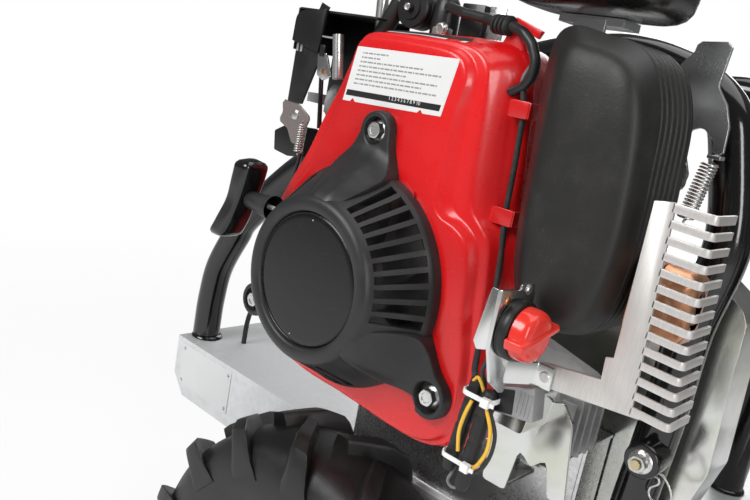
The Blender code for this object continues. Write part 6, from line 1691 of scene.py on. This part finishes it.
class CABLE_LAYER_OT_wheels(bpy.types.Operator):
    """Lugged tyres and pressed rims"""
    bl_idname = "cable_layer.wheels"
    bl_label = "Wheels"

    def execute(self, context):
        sizes = context.scene.cable_layer_chassis
        tyre("near", -1, sizes)
        tyre("far", 1, sizes)
        rims()
        return {"FINISHED"}


class CABLE_LAYER_OT_drive(bpy.types.Operator):
    """Belt drive with its cover, chain case and axle"""
    bl_idname = "cable_layer.drive"
    bl_label = "Drive"

    def execute(self, context):
        drive()
        return {"FINISHED"}


class CABLE_LAYER_OT_rear(bpy.types.Operator):
    """Rear frame, trench blade, press wheel and cable reel"""
    bl_idname = "cable_layer.rear"
    bl_label = "Blade, reel and press wheel"

    def execute(self, context):
        rear_unit()
        return {"FINISHED"}


class CABLE_LAYER_OT_handles(bpy.types.Operator):
    """Handlebar with its grips and hand levers"""
    bl_idname = "cable_layer.handles"
    bl_label = "Handlebar"

    def execute(self, context):
        handles()
        return {"FINISHED"}


class CABLE_LAYER_OT_stage(bpy.types.Operator):
    """Pale floor, white surroundings, soft lamps and the camera"""
    bl_idname = "cable_layer.stage"
    bl_label = "Studio"

    def execute(self, context):
        stage(context.scene.cable_layer_stage)
        return {"FINISHED"}


OPERATORS = (CABLE_LAYER_OT_starter, CABLE_LAYER_OT_shroud, CABLE_LAYER_OT_silencer, CABLE_LAYER_OT_wiring,
    CABLE_LAYER_OT_engine_block, CABLE_LAYER_OT_tank, CABLE_LAYER_OT_controls, CABLE_LAYER_OT_chassis,
    CABLE_LAYER_OT_wheels, CABLE_LAYER_OT_drive, CABLE_LAYER_OT_rear, CABLE_LAYER_OT_handles,
    CABLE_LAYER_OT_stage)
GROUPS = {"cable_layer_engine": EngineSizes, "cable_layer_chassis": ChassisSizes,
    "cable_layer_colours": Colours, "cable_layer_stage": StageLook}


class CABLE_LAYER_PT_panel(bpy.types.Panel):
    """Sizes, colours and one button for each piece or group"""
    bl_idname = "CABLE_LAYER_PT_panel"
    bl_label = "Cable laying machine"
    bl_space_type = "VIEW_3D"
    bl_region_type = "UI"
    bl_category = "Cable Layer"

    def draw(self, context):
        layout = self.layout
        for group in GROUPS:
            values = getattr(context.scene, group)
            box = layout.box()
            for key in values.bl_rna.properties.keys():
                if key not in ("rna_type", "name"):
                    box.prop(values, key)
        for operator in OPERATORS:
            layout.operator(operator.bl_idname)


def register():
    for made in (*GROUPS.values(), *OPERATORS, CABLE_LAYER_PT_panel):
        bpy.utils.register_class(made)
    for key, group in GROUPS.items():
        setattr(bpy.types.Scene, key, PointerProperty(type=group))


def unregister():
    for key in GROUPS:
        delattr(bpy.types.Scene, key)
    for made in reversed((*GROUPS.values(), *OPERATORS, CABLE_LAYER_PT_panel)):
        bpy.utils.unregister_class(made)


def main():
    """Build every piece and the studio in order."""
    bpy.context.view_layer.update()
    register()
    for operator in OPERATORS:
        getattr(bpy.ops.cable_layer, operator.bl_idname.split(".")[1])()


if __name__ == "__main__":
    main()
